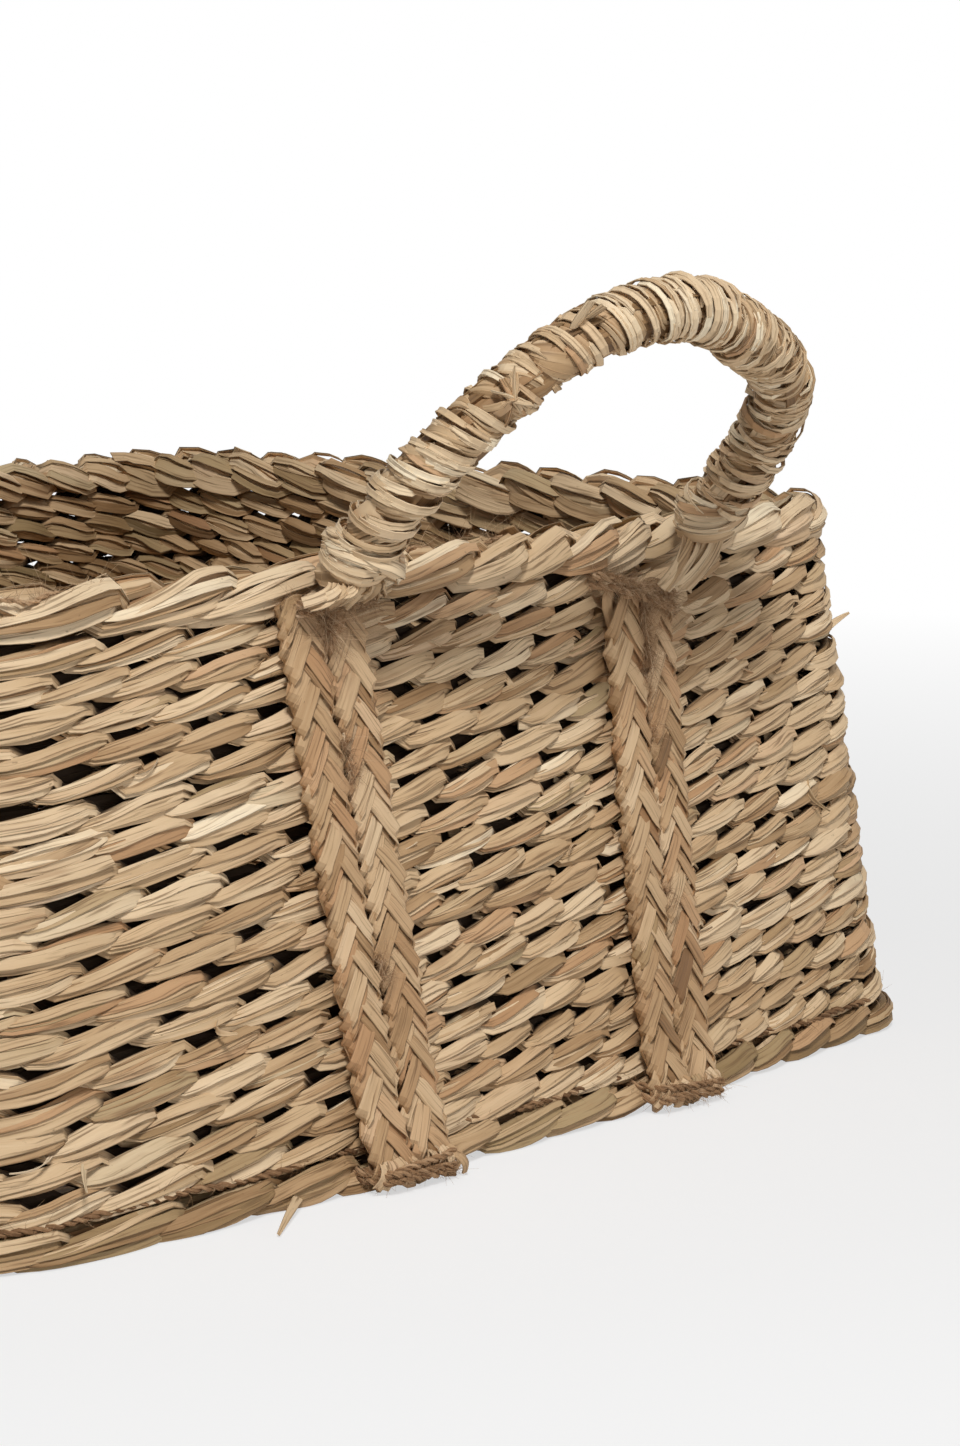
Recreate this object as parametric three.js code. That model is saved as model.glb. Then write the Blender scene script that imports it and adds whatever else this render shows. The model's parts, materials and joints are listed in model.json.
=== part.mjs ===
import * as THREE from 'three';

// A magazine basket of one long seagrass plait, wound in level rows, with two wrapped arch handles.
// Millimetres, +Z up. It stands on z = 0 with its middle over the origin, and the front is toward -Y.
// Its length runs along X. The back is the front turned half round about Z.

// Wall outline, measured between the middles of the plait. The wall leans in from the floor to the rim.
const base_length = 428;
const base_depth = 371;
const rim_length = 390;
const rim_depth = 337;
const base_corner_radius = 24;
const rim_corner_radius = 21;
const base_bow = 12; // how far the middle of each side bulges out at the floor
const rim_bow = 8;

// The wall's plait, one length wound in level rows, with its edges facing out and in
const row_count = 18;
const row_width = 12;
const row_height = 8.6;
const row_gap = 0.5;

// Braids that edge the base and the rim, and the twine that sews the base braid on
const base_braid_width = 17;
const base_braid_height = 10.5;
const rim_braid_width = 17;
const rim_braid_height = 15;
const seam_twine_diameter = 2.6;
const mat_thickness = 8;

// Carrying straps, each of two plaits side by side, running down the outside under each handle foot
const strap_spacing_top = 146;
const strap_spacing_bottom = 130;
const strap_shift_top = -2.5; // of both straps to the right, seen from outside
const strap_shift_bottom = 4;
const plait_width = 16.5;
const plait_thickness = 7.5;
const strap_bottom = 3;
const braid_bend = 0.3; // of the base braid's face within a strap's width
const strap_twine_diameter = 2;

// Jute lashings that hold each strap at its top and bottom
const lashing_height = 6.5;
const lashing_thickness = 2.4;
const lashing_slack = 0.6;

// Arch handles
const handle_span = 164; // between the middles of the two feet
const handle_shift = 12; // to the right of the straps' middle, seen from outside
const handle_leg = 16; // straight length of each leg above its pivot
const handle_lean = THREE.MathUtils.degToRad(41); // outward at rest
const core_diameter = 16;
const wrap_thickness = 3;
const wrap_clearance = 1.3; // from the core to the wrap's corners
const wrap_turns = 23;
const wrap_gap = 0.6; // between neighbouring turns
const wrap_start = 8; // from the pivot to the first turn
const pivot_below_rim = 0.5;
const handle_to_rim = 1.2;
const foot_wrap_height = 6;
const foot_wrap_top_diameter = 20;
const foot_wrap_skirt_diameter = 25;
const foot_wrap_skirt_height = 2.5;
const tuck_length = 15;
const tuck_width = 11;
const tuck_thickness = 6;
const tuck_distance = 72; // along the handle from its left pivot

// Clearance between pieces that touch
const seat_gap = 0.35;

// Counts of steps and sides
const corner_steps = 3;
const side_steps = 3;
const strap_steps = 6;
const arch_steps = 18;
const core_sides = 12;
const wrap_steps_per_turn = 8;
const dome_steps = 3;

// Shares of a half width and half height that shape the sections, going round anticlockwise
const row_section_shares = [[1, 0], [0.55, 1], [-0.55, 1], [-1, 0], [-0.55, -1], [0.55, -1]];
const braid_section_shares = [
  [1, 0.45], [0.6, 1], [-0.6, 1], [-1, 0.45], [-1, -0.45], [-0.6, -1], [0.6, -1], [1, -0.45],
];
const flat_bottom_section_shares = [
  [1, 0.4], [0.6, 1], [-0.6, 1], [-1, 0.4], [-1, -0.5], [-0.8, -1], [0.8, -1], [1, -0.5],
];
// Shares of a turn's full width and full height, with the flat side on the core
const wrap_section_shares = [[-0.5, 0], [0.5, 0], [0.42, 0.62], [0, 1], [-0.42, 0.62]];

// Heights and offsets that follow from the sizes above
const row_pitch = row_height + row_gap;
const first_row_z = base_braid_height + seat_gap + row_height / 2;
const last_row_z = first_row_z + row_pitch * (row_count - 1);
const rim_braid_bottom = last_row_z + row_height / 2 + seat_gap;
const wall_height = rim_braid_bottom + rim_braid_height;
const handle_radius = core_diameter / 2 + wrap_clearance + wrap_thickness;
const pivot_z = wall_height - pivot_below_rim;
const foot_wrap_top = pivot_z - core_diameter / 2 - seat_gap;
const foot_wrap_bottom = foot_wrap_top - foot_wrap_height;
const wall_slope = (base_depth - rim_depth + 2 * (base_bow - rim_bow)) / 2 / wall_height;
const strap_top = foot_wrap_bottom - seat_gap - plait_thickness * wall_slope;
const top_lashing_drop = wall_slope * (plait_thickness + lashing_thickness + 2 * lashing_slack);
const top_lashing_top = strap_top - top_lashing_drop; // its outer edge clears the foot wrap
const arch_radius = handle_span / 2;

const colours = {
  row: 0xb59a6c,
  mat: 0xa98f63,
  braid: 0xc2a678,
  plait: 0xb8966c,
  wrap: 0xc9ad80,
  core: 0x8f7a52,
  jute: 0x8a6a44,
};

const mix = THREE.MathUtils.lerp;

// A named mesh with a dry, fibrous finish
function piece(name, geometry, colour) {
  const material = new THREE.MeshStandardMaterial({ color: colour, roughness: 0.85, metalness: 0 });
  const mesh = new THREE.Mesh(geometry, material);
  mesh.name = name;
  return mesh;
}

// Joins rings of points into one closed body. An open run is capped, and a closed one meets its start.
function bodyFromRings(rings, closed) {
  const sides = rings[0].length;
  const index = [];
  const spans = closed ? rings.length : rings.length - 1;
  for (let i = 0; i < spans; i += 1) {
    const here = i * sides;
    const next = ((i + 1) % rings.length) * sides;
    for (let k = 0; k < sides; k += 1) {
      const after = (k + 1) % sides;
      index.push(here + k, next + k, next + after);
      index.push(here + k, next + after, here + after);
    }
  }
  if (!closed) {
    const last = (rings.length - 1) * sides;
    for (let k = 1; k < sides - 1; k += 1) {
      index.push(0, k, k + 1);
      index.push(last, last + k + 1, last + k);
    }
  }
  const points = rings.flat();
  if (signedVolume(points, index) < 0) index.reverse();
  const geometry = new THREE.BufferGeometry();
  geometry.setAttribute('position', new THREE.Float32BufferAttribute(points.flatMap((p) => p.toArray()), 3));
  geometry.setIndex(index);
  return geometry;
}

// Negative where the faces point into the body
function signedVolume(points, index) {
  const cross = new THREE.Vector3();
  let sum = 0;
  for (let i = 0; i < index.length; i += 3) {
    cross.crossVectors(points[index[i + 1]], points[index[i + 2]]);
    sum += points[index[i]].dot(cross);
  }
  return sum;
}

// A section's points at a centre, spread along two directions by half sizes
function sectionAt(centre, across, along, half_across, half_along, shares) {
  return shares.map(([a, b]) =>
    centre.clone().addScaledVector(across, a * half_across).addScaledVector(along, b * half_along));
}

// The wall's outline sizes at a height
function wallSize(z) {
  const share = z / wall_height;
  return {
    length: mix(base_length, rim_length, share),
    depth: mix(base_depth, rim_depth, share),
    radius: mix(base_corner_radius, rim_corner_radius, share),
    bow: mix(base_bow, rim_bow, share),
  };
}

// Pushes a point of the plain rounded rectangle out by the sides' bow
function bowed(x, y, size) {
  const along_x = size.bow * Math.cos((Math.PI * x) / size.length);
  const along_y = size.bow * Math.cos((Math.PI * y) / size.depth);
  const near_y = Math.abs((2 * y) / size.depth) ** 4;
  const near_x = Math.abs((2 * x) / size.length) ** 4;
  return new THREE.Vector2(x + Math.sign(x) * along_y * near_x, y + Math.sign(y) * along_x * near_y);
}

// The outline at a height as points going anticlockwise from the left side near the back corner
function outline(z, inset = 0) {
  const full = wallSize(z);
  const size = { ...full, length: full.length - 2 * inset, depth: full.depth - 2 * inset };
  const radius = full.radius - inset;
  const straight_x = size.length / 2 - radius;
  const straight_y = size.depth / 2 - radius;
  const corners = [[-1, -1], [1, -1], [1, 1], [-1, 1]];
  const points = [];
  corners.forEach(([sx, sy], corner) => {
    const centre = new THREE.Vector2(sx * straight_x, sy * straight_y);
    for (let k = 0; k <= corner_steps; k += 1) {
      const angle = Math.PI + (corner + k / corner_steps) * (Math.PI / 2);
      points.push(new THREE.Vector2(Math.cos(angle), Math.sin(angle)).multiplyScalar(radius).add(centre));
    }
    const [nx, ny] = corners[(corner + 1) % corners.length];
    const end_angle = Math.PI + (corner + 1) * (Math.PI / 2);
    const arm = new THREE.Vector2(Math.cos(end_angle), Math.sin(end_angle)).multiplyScalar(radius);
    const start = centre.clone().add(arm);
    const end = new THREE.Vector2(nx * straight_x, ny * straight_y).add(arm);
    for (let k = 1; k < side_steps; k += 1) points.push(start.clone().lerp(end, k / side_steps));
  });
  const first = points.length - (side_steps - 1);
  const ordered = [...points.slice(first), ...points.slice(0, first)];
  return ordered.map((p) => bowed(p.x, p.y, size));
}

// The outline with the outward direction at each point, lifted to a height
function stations(z) {
  const points = outline(z);
  return points.map((p, i) => {
    const before = points[(i + points.length - 1) % points.length];
    const after = points[(i + 1) % points.length];
    const outward = new THREE.Vector3(after.y - before.y, before.x - after.x, 0).normalize();
    return { centre: new THREE.Vector3(p.x, p.y, z), outward };
  });
}

// Where the middle of the wall's plait lies on the front of the wall, at a place along it and a height
function frontY(x, z) {
  const points = outline(z).filter((p) => p.y < 0);
  points.sort((a, b) => a.x - b.x);
  let after = points.findIndex((p) => p.x > x);
  after = Math.max(after, 1);
  const a = points[after - 1];
  const b = points[after];
  return mix(a.y, b.y, (x - a.x) / (b.x - a.x));
}

const up = new THREE.Vector3(0, 0, 1);

// One closed ring round the wall's outline at a height, moved out by an offset
function wallRing(z, offset, width, height, shares) {
  const rings = stations(z).map(({ centre, outward }) => {
    const middle = centre.clone().addScaledVector(outward, offset);
    return sectionAt(middle, outward, up, width / 2, height / 2, shares);
  });
  return bodyFromRings(rings, true);
}

// The shortest distance from a point to the edge between two others
function distanceToEdge(p, a, b) {
  return new THREE.Line3(a, b).closestPointToPoint(p, true, new THREE.Vector3()).distanceTo(p);
}

// Measures the least gap between one turn of a winding and the next, on its points, and prints it
function printLeastGap(name, rings, rings_per_turn) {
  let least = Infinity;
  rings.forEach((ring, i) => {
    const nearest = i + Math.ceil(rings_per_turn / 2);
    const furthest = Math.min(i + Math.floor(1.5 * rings_per_turn), rings.length - 1);
    for (let j = nearest; j <= furthest; j += 1) {
      const other = rings[j];
      for (const p of ring) {
        other.forEach((a, k) => {
          least = Math.min(least, distanceToEdge(p, a, other[(k + 1) % other.length]));
        });
      }
    }
  });
  console.log(`${name}: least gap to itself ${least.toFixed(2)} mm`);
}

// The wall's plait, in level rows that each climb to the next on the left side near the back corner
function wallPlait() {
  const rings = [];
  for (let row = 0; row < row_count; row += 1) {
    const z = first_row_z + row_pitch * row;
    for (const { centre, outward } of stations(z)) {
      rings.push(sectionAt(centre, outward, up, row_width / 2, row_height / 2, row_section_shares));
    }
  }
  printLeastGap('wall_plait', rings, outline(0).length);
  return bodyFromRings(rings, false);
}

// The flat woven bottom, inside the base braid
function baseMat() {
  const shape = new THREE.Shape(outline(base_braid_height / 2, base_braid_width / 2 + seat_gap));
  return new THREE.ExtrudeGeometry(shape, { depth: mat_thickness, bevelEnabled: false });
}

// The twine lies on the base braid, against the lowest row from outside
function baseSeamTwine() {
  const radius = seam_twine_diameter / 2;
  const offset = (row_width / 2 + radius + seat_gap) * Math.cos(Math.PI / 6);
  const z = base_braid_height + seat_gap + radius;
  return wallRing(z, offset, seam_twine_diameter, seam_twine_diameter, row_section_shares);
}

// A strap's middle along X at a height
function strapX(side, z) {
  const share = (z - strap_bottom) / (strap_top - strap_bottom);
  const shift = mix(strap_shift_bottom, strap_shift_top, share);
  return (side * mix(strap_spacing_bottom, strap_spacing_top, share)) / 2 + shift;
}

// Heights down a strap with how far its middle stands out from the middle of the wall.
// The strap lies on the rows and steps out at its foot to pass over the base braid.
function strapCourse(top, bottom) {
  const on_rows = row_width / 2 + seat_gap + plait_thickness / 2;
  const on_braid = base_braid_width / 2 + seat_gap + braid_bend + plait_thickness / 2;
  const step_top = first_row_z + row_pitch;
  const step_bottom = base_braid_height + 2 * seat_gap;
  const course = [];
  for (let k = 0; k <= strap_steps; k += 1) {
    course.push({ z: mix(top, step_top, k / strap_steps), offset: on_rows });
  }
  course.push({ z: Math.max(step_bottom, bottom), offset: on_braid });
  if (bottom < step_bottom) course.push({ z: bottom, offset: on_braid });
  return course;
}

// The direction along the front wall, to the right, at a place on it
function frontDirection(x, z) {
  const reach = plait_width;
  const rise = frontY(x + reach, z) - frontY(x - reach, z);
  return new THREE.Vector3(2 * reach, rise, 0).normalize();
}

// A flat length running down the front of the wall, beside a strap's middle by a shift
function lengthDownWall(course, side, shift, lift, width, thickness, shares) {
  const centres = course.map(({ z, offset }) => {
    const x = strapX(side, z) + shift;
    return new THREE.Vector3(x, frontY(x, z) - offset - lift, z);
  });
  const rings = centres.map((centre, i) => {
    const before = centres[Math.max(i - 1, 0)];
    const after = centres[Math.min(i + 1, centres.length - 1)];
    const along = after.clone().sub(before).normalize();
    const across = frontDirection(strapX(side, centre.z), centre.z);
    const outward = along.clone().cross(across).normalize();
    return sectionAt(centre, across, outward, width / 2, thickness / 2, shares);
  });
  return bodyFromRings(rings, false);
}

// The cord that stitches a strap's two plaits together, down the groove between them
function strapTwine(side) {
  const top = top_lashing_top - lashing_height - 2 * lashing_slack;
  const bottom = strap_bottom + lashing_height + 2 * lashing_slack;
  const lift = plait_thickness / 2 - strap_twine_diameter / 4;
  const size = strap_twine_diameter;
  return lengthDownWall(strapCourse(top, bottom), side, 0, lift, size, size, row_section_shares);
}

// A lashing over a strap, open toward the wall, as a staple-shaped band
function lashing(side, middle_z, backing_half_width) {
  const x = strapX(side, middle_z);
  const half_inner = plait_width + seat_gap / 2 + lashing_slack;
  const half_outer = half_inner + lashing_thickness;
  const inner_y = plait_thickness + seat_gap + lashing_slack;
  const outer_y = inner_y + lashing_thickness;
  const shape = new THREE.Shape();
  shape.moveTo(-half_inner, seat_gap);
  shape.lineTo(-half_inner, inner_y);
  shape.lineTo(half_inner, inner_y);
  shape.lineTo(half_inner, seat_gap);
  shape.lineTo(half_outer, seat_gap);
  shape.lineTo(half_outer, inner_y);
  shape.lineTo(half_inner, outer_y);
  shape.lineTo(-half_inner, outer_y);
  shape.lineTo(-half_outer, inner_y);
  shape.lineTo(-half_outer, seat_gap);
  const geometry = new THREE.ExtrudeGeometry(shape, { depth: lashing_height, bevelEnabled: false });
  geometry.translate(0, 0, -lashing_height / 2);
  const left = frontDirection(x, middle_z).negate();
  const low = frontY(x, middle_z - lashing_height);
  const high = frontY(x, middle_z + lashing_height);
  const rising = new THREE.Vector3(0, high - low, 2 * lashing_height).normalize();
  const outward = rising.clone().cross(left).normalize();
  const frame = new THREE.Matrix4().makeBasis(left, outward, left.clone().cross(outward));
  const y = frontY(x, middle_z) - backing_half_width;
  geometry.applyMatrix4(frame.setPosition(x, y, middle_z));
  return geometry;
}

// A point on the handle's centre line at a distance from its left pivot, with its directions.
// The arch stands in the plane y = 0 of the handle's own frame, with the pivots on z = 0.
const arch_length = 2 * handle_leg + Math.PI * arch_radius;

function archPoint(distance) {
  const on_arc = distance - handle_leg;
  if (on_arc <= 0) {
    return {
      centre: new THREE.Vector3(-arch_radius, 0, distance),
      along: new THREE.Vector3(0, 0, 1),
      outward: new THREE.Vector3(-1, 0, 0),
    };
  }
  if (distance >= arch_length - handle_leg) {
    return {
      centre: new THREE.Vector3(arch_radius, 0, arch_length - distance),
      along: new THREE.Vector3(0, 0, -1),
      outward: new THREE.Vector3(1, 0, 0),
    };
  }
  const angle = Math.PI - on_arc / arch_radius;
  const outward = new THREE.Vector3(Math.cos(angle), 0, Math.sin(angle));
  return {
    centre: outward.clone().multiplyScalar(arch_radius).add(new THREE.Vector3(0, 0, handle_leg)),
    along: new THREE.Vector3(Math.sin(angle), 0, -Math.cos(angle)),
    outward,
  };
}

const plane_normal = new THREE.Vector3(0, 1, 0);

// The hidden core of the handle, with rounded ends centred on the pivots
function handleCore() {
  const radius = core_diameter / 2;
  const circle = Array.from({ length: core_sides }, (_, k) => {
    const angle = (2 * Math.PI * k) / core_sides;
    return [Math.cos(angle), Math.sin(angle)];
  });
  const rings = [];
  const addRing = (distance, beyond, size) => {
    const { centre, along, outward } = archPoint(distance);
    const middle = centre.clone().addScaledVector(along, beyond);
    rings.push(sectionAt(middle, outward, plane_normal, size, size, circle));
  };
  for (let k = dome_steps; k > 0; k -= 1) {
    const angle = (k / (dome_steps + 1)) * (Math.PI / 2);
    addRing(0, -radius * Math.sin(angle), radius * Math.cos(angle));
  }
  addRing(0, 0, radius);
  for (let k = 0; k <= arch_steps; k += 1) {
    addRing(handle_leg + (Math.PI * arch_radius * k) / arch_steps, 0, radius);
  }
  addRing(arch_length, 0, radius);
  for (let k = 1; k <= dome_steps; k += 1) {
    const angle = (k / (dome_steps + 1)) * (Math.PI / 2);
    addRing(arch_length, radius * Math.sin(angle), radius * Math.cos(angle));
  }
  return bodyFromRings(rings, false);
}

// The seagrass wound round the handle's core in one unbroken length
function handleWrap(name) {
  const run = arch_length - 2 * wrap_start;
  const pitch = run / (wrap_turns + 1);
  const steps = wrap_turns * wrap_steps_per_turn;
  const inner_radius = core_diameter / 2 + wrap_clearance;
  const rings = [];
  for (let i = 0; i <= steps; i += 1) {
    const turns = i / wrap_steps_per_turn;
    const { centre, along, outward } = archPoint(wrap_start + pitch * (turns + 0.5));
    const angle = 2 * Math.PI * turns;
    const radial = outward.clone().multiplyScalar(Math.cos(angle));
    radial.addScaledVector(plane_normal, Math.sin(angle));
    const on_arc = Math.abs(centre.x) < arch_radius;
    const stretch = on_arc ? 1 + (inner_radius / arch_radius) * Math.cos(angle) : 1;
    const width = pitch * Math.min(stretch, 1) - wrap_gap;
    const foot = centre.clone().addScaledVector(radial, inner_radius);
    rings.push(sectionAt(foot, along, radial, width, wrap_thickness, wrap_section_shares));
  }
  printLeastGap(name, rings, wrap_steps_per_turn);
  return bodyFromRings(rings, false);
}

// The tucked end of the wrap, a small pad on the outer side of the left leg
function handleTuck() {
  const geometry = new THREE.SphereGeometry(1, 10, 6);
  geometry.scale(tuck_width / 2, tuck_thickness / 2, tuck_length / 2);
  const { centre, along } = archPoint(tuck_distance);
  geometry.rotateY(Math.atan2(along.x, along.z));
  const lift = handle_radius + seat_gap + tuck_thickness / 2;
  geometry.translate(centre.x, -lift, centre.z);
  return geometry;
}

// The wrap round a handle's foot, with a flared skirt over the strap's top
function footWrap() {
  const profile = [
    new THREE.Vector2(0, 0),
    new THREE.Vector2(foot_wrap_skirt_diameter / 2, 0),
    new THREE.Vector2(foot_wrap_skirt_diameter / 2, foot_wrap_skirt_height),
    new THREE.Vector2(foot_wrap_top_diameter / 2, foot_wrap_height),
    new THREE.Vector2(0, foot_wrap_height),
  ];
  return new THREE.LatheGeometry(profile, core_sides).rotateX(Math.PI / 2);
}

// The pivots' line lies outside the rim braid, clear of it by the handle's own radius
const left_foot_x = handle_shift - arch_radius;
const right_foot_x = handle_shift + arch_radius;
const nearest_wall_y = Math.min(frontY(left_foot_x, pivot_z), frontY(right_foot_x, pivot_z));
const pivot_y = nearest_wall_y - rim_braid_width / 2 - handle_to_rim - handle_radius;

// One handle, standing in its own frame and leaning outward about its pivots
function handle(face) {
  const group = new THREE.Group();
  group.add(piece(`${face}_handle_core`, handleCore(), colours.core));
  group.add(piece(`${face}_handle_wrap`, handleWrap(`${face}_handle_wrap`), colours.wrap));
  group.add(piece(`${face}_handle_tuck`, handleTuck(), colours.wrap));
  group.position.set(handle_shift, pivot_y, pivot_z);
  group.rotation.x = handle_lean;
  return group;
}

// One strap with its plaits, stitching and lashings
function strap(face, side_name, side) {
  const group = new THREE.Group();
  const shift = (plait_width + seat_gap) / 2;
  const course = strapCourse(strap_top, strap_bottom);
  for (const [plait_name, way] of [['left', -1], ['right', 1]]) {
    const body = lengthDownWall(
      course, side, way * shift, 0, plait_width, plait_thickness, braid_section_shares);
    group.add(piece(`${face}_${side_name}_strap_plait_${plait_name}`, body, colours.plait));
  }
  group.add(piece(`${face}_${side_name}_strap_twine`, strapTwine(side), colours.jute));
  const top_z = top_lashing_top - lashing_height / 2;
  const bottom_z = strap_bottom + seat_gap + lashing_height / 2;
  const top = lashing(side, top_z, row_width / 2);
  const bottom = lashing(side, bottom_z, base_braid_width / 2);
  group.add(piece(`${face}_${side_name}_top_lashing`, top, colours.jute));
  group.add(piece(`${face}_${side_name}_bottom_lashing`, bottom, colours.jute));
  return group;
}

// Everything that one face of the basket carries
function faceFittings(face) {
  const group = new THREE.Group();
  group.add(handle(face));
  for (const [side_name, side, foot_x] of [['left', -1, left_foot_x], ['right', 1, right_foot_x]]) {
    group.add(strap(face, side_name, side));
    const foot = piece(`${face}_${side_name}_foot_wrap`, footWrap(), colours.wrap);
    foot.position.set(foot_x, pivot_y, foot_wrap_bottom);
    group.add(foot);
  }
  return group;
}

const basket = new THREE.Group();
basket.add(piece('base_mat', baseMat(), colours.mat));
basket.add(piece('base_edge_braid', wallRing(
  base_braid_height / 2, 0, base_braid_width, base_braid_height, flat_bottom_section_shares), colours.braid));
basket.add(piece('base_seam_twine', baseSeamTwine(), colours.jute));
basket.add(piece('wall_plait', wallPlait(), colours.row));
basket.add(piece('rim_braid', wallRing(
  rim_braid_bottom + rim_braid_height / 2, 0, rim_braid_width, rim_braid_height, braid_section_shares),
colours.braid));
basket.add(faceFittings('front'));
const back = faceFittings('back');
back.rotation.z = Math.PI;
basket.add(back);

console.log(`pivot at y ${pivot_y.toFixed(2)}, z ${pivot_z.toFixed(2)}; wall height ${wall_height.toFixed(2)}`);

export default basket;
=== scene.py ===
# %% [markdown]
# A magazine basket of plaited seagrass. The real one is made by hand: leaves are gathered into strands,
# strands are plaited, and one long plait is wound up into a wall. Every piece here is made in the same
# order, leaf by leaf, so that the light falls on real edges instead of on a painted pattern. Shade is
# still painted into the cracks and hidden sides of the leaves, and onto the inside of the wall.
# The measured model of the basket is loaded first. It says where each piece lies and how it moves.

import json
import math

import bpy
import numpy as np
from mathutils import Matrix, Vector


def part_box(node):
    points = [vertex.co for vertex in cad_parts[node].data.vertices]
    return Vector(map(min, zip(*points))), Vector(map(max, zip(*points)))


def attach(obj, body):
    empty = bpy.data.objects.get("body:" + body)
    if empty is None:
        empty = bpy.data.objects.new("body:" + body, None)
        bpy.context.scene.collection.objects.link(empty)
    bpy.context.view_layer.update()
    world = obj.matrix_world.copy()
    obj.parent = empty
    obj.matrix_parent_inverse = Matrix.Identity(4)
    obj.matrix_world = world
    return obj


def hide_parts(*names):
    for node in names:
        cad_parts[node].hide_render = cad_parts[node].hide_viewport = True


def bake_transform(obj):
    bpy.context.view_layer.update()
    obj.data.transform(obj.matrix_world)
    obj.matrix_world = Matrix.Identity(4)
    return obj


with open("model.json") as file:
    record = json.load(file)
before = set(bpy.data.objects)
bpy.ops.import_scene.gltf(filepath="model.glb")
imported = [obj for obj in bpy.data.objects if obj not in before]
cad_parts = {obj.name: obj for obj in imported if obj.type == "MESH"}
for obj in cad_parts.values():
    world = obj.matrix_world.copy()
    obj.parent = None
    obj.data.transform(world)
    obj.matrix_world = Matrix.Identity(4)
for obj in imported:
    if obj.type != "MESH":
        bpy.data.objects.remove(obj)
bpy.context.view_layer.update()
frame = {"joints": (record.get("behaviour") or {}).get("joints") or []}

# %% [markdown]
# The sizes below drive everything. They are written in millimetres and turned into metres, and the
# heights are worked out from them in the order in which the basket is made: base, rows, rim.

# %% Driving sizes
MM = 0.001

base_length = 428 * MM
base_depth = 371 * MM
rim_length = 390 * MM
rim_depth = 337 * MM
base_corner_radius = 24 * MM
rim_corner_radius = 21 * MM
base_bow = 12 * MM
rim_bow = 8 * MM

row_count = 18
row_width = 12 * MM
row_height = 8.6 * MM
row_gap = 0.5 * MM
base_braid_width = 17 * MM
base_braid_height = 10.5 * MM
rim_braid_height = 15 * MM
seat_gap = 0.35 * MM

row_pitch = row_height + row_gap
first_row_z = base_braid_height + seat_gap + row_height / 2
last_row_z = first_row_z + row_pitch * (row_count - 1)
rim_braid_bottom = last_row_z + row_height / 2 + seat_gap
wall_height = rim_braid_bottom + rim_braid_height
print(f"wall height {wall_height / MM:.1f} mm, {row_count} rows {row_pitch / MM:.1f} mm apart")

# %% [markdown]
# The camera comes early, because it decides how fine each piece has to be. The photograph was taken
# from the front left corner, a little above the rim, with a long lens: its near edges hardly converge.
# Yaw, pitch and roll were found by fitting the basket's outline, and the focal length by its perspective.

# %% Camera
image_height = 1446
focal_pixels = 4148
camera_place = Vector((-0.9545, -1.0435, 0.3210))
yaw = math.radians(48)
pitch = math.radians(8.37)
roll = math.radians(-0.82)

forward = Vector((math.sin(yaw) * math.cos(pitch), math.cos(yaw) * math.cos(pitch), -math.sin(pitch)))
level = Vector((math.cos(yaw), -math.sin(yaw), 0))
above = level.cross(forward)
camera_x = level * math.cos(roll) + above * math.sin(roll)
camera_y = above * math.cos(roll) - level * math.sin(roll)

camera_data = bpy.data.cameras.new("camera")
camera_data.sensor_fit = "VERTICAL"
camera_data.sensor_height = 36
camera_data.lens = focal_pixels / image_height * camera_data.sensor_height
camera = bpy.data.objects.new("camera", camera_data)
bpy.context.scene.collection.objects.link(camera)
camera.matrix_world = Matrix((
    *((camera_x[axis], camera_y[axis], -forward[axis], camera_place[axis]) for axis in range(3)),
    (0, 0, 0, 1),
))
bpy.context.scene.camera = camera
print(f"lens {camera_data.lens:.1f} mm")

# %% [markdown]
# A shader is a sum of small steps, and it reads best as a sum. This class wraps one output of one node.
# Adding or multiplying two of them adds a Math node, so that "streaks * 0.3 + tone" builds its own nodes.
# Every other node comes from its one method, which takes the settings first and the sockets after.

# %% Shader maths
class Wire:
    """One value in a shader, which can be added to and multiplied like a number."""

    def __init__(self, tree, socket=None):
        self.tree = tree
        self.socket = socket

    def node(self, kind, settings=None, sockets=None, output=0):
        made = self.tree.nodes.new(kind)
        for name, value in (settings or {}).items():
            if name == "stops":
                ramp = made.color_ramp
                while len(ramp.elements) < len(value):
                    ramp.elements.new(1)
                for element, (place, colour) in zip(ramp.elements, value):
                    element.position = place
                    element.color = colour
            else:
                setattr(made, name, value)
        self.plug(made, sockets or {})
        return Wire(self.tree, made.outputs[output])

    def plug(self, made, sockets):
        """Joins each wire to its socket of a node, and sets each plain value there."""
        for name, value in sockets.items():
            if isinstance(value, Wire):
                self.tree.links.new(value.socket, made.inputs[name])
            else:
                made.inputs[name].default_value = value

    def maths(self, operation, first, second):
        return self.node("ShaderNodeMath", {"operation": operation}, {0: first, 1: second})

    def __add__(self, other):
        return self.maths("ADD", self, other)

    def __radd__(self, other):
        return self.maths("ADD", other, self)

    def __sub__(self, other):
        return self.maths("SUBTRACT", self, other)

    def __rsub__(self, other):
        return self.maths("SUBTRACT", other, self)

    def __mul__(self, other):
        return self.maths("MULTIPLY", self, other)

    def __rmul__(self, other):
        return self.maths("MULTIPLY", other, self)

    def between(self, low, high):
        """0 below low and 1 above high, with a straight climb between."""
        sockets = {"Value": self, "From Min": low, "From Max": high}
        return self.node("ShaderNodeMapRange", {"clamp": True}, sockets)

    def colour_mix(self, factor, first, second):
        settings = {"data_type": "RGBA", "blend_type": "MIX"}
        factor_socket, first_socket, second_socket, colour_output = 0, 6, 7, 2
        sockets = {factor_socket: factor, first_socket: first, second_socket: second}
        return self.node("ShaderNodeMix", settings, sockets, colour_output)
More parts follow.
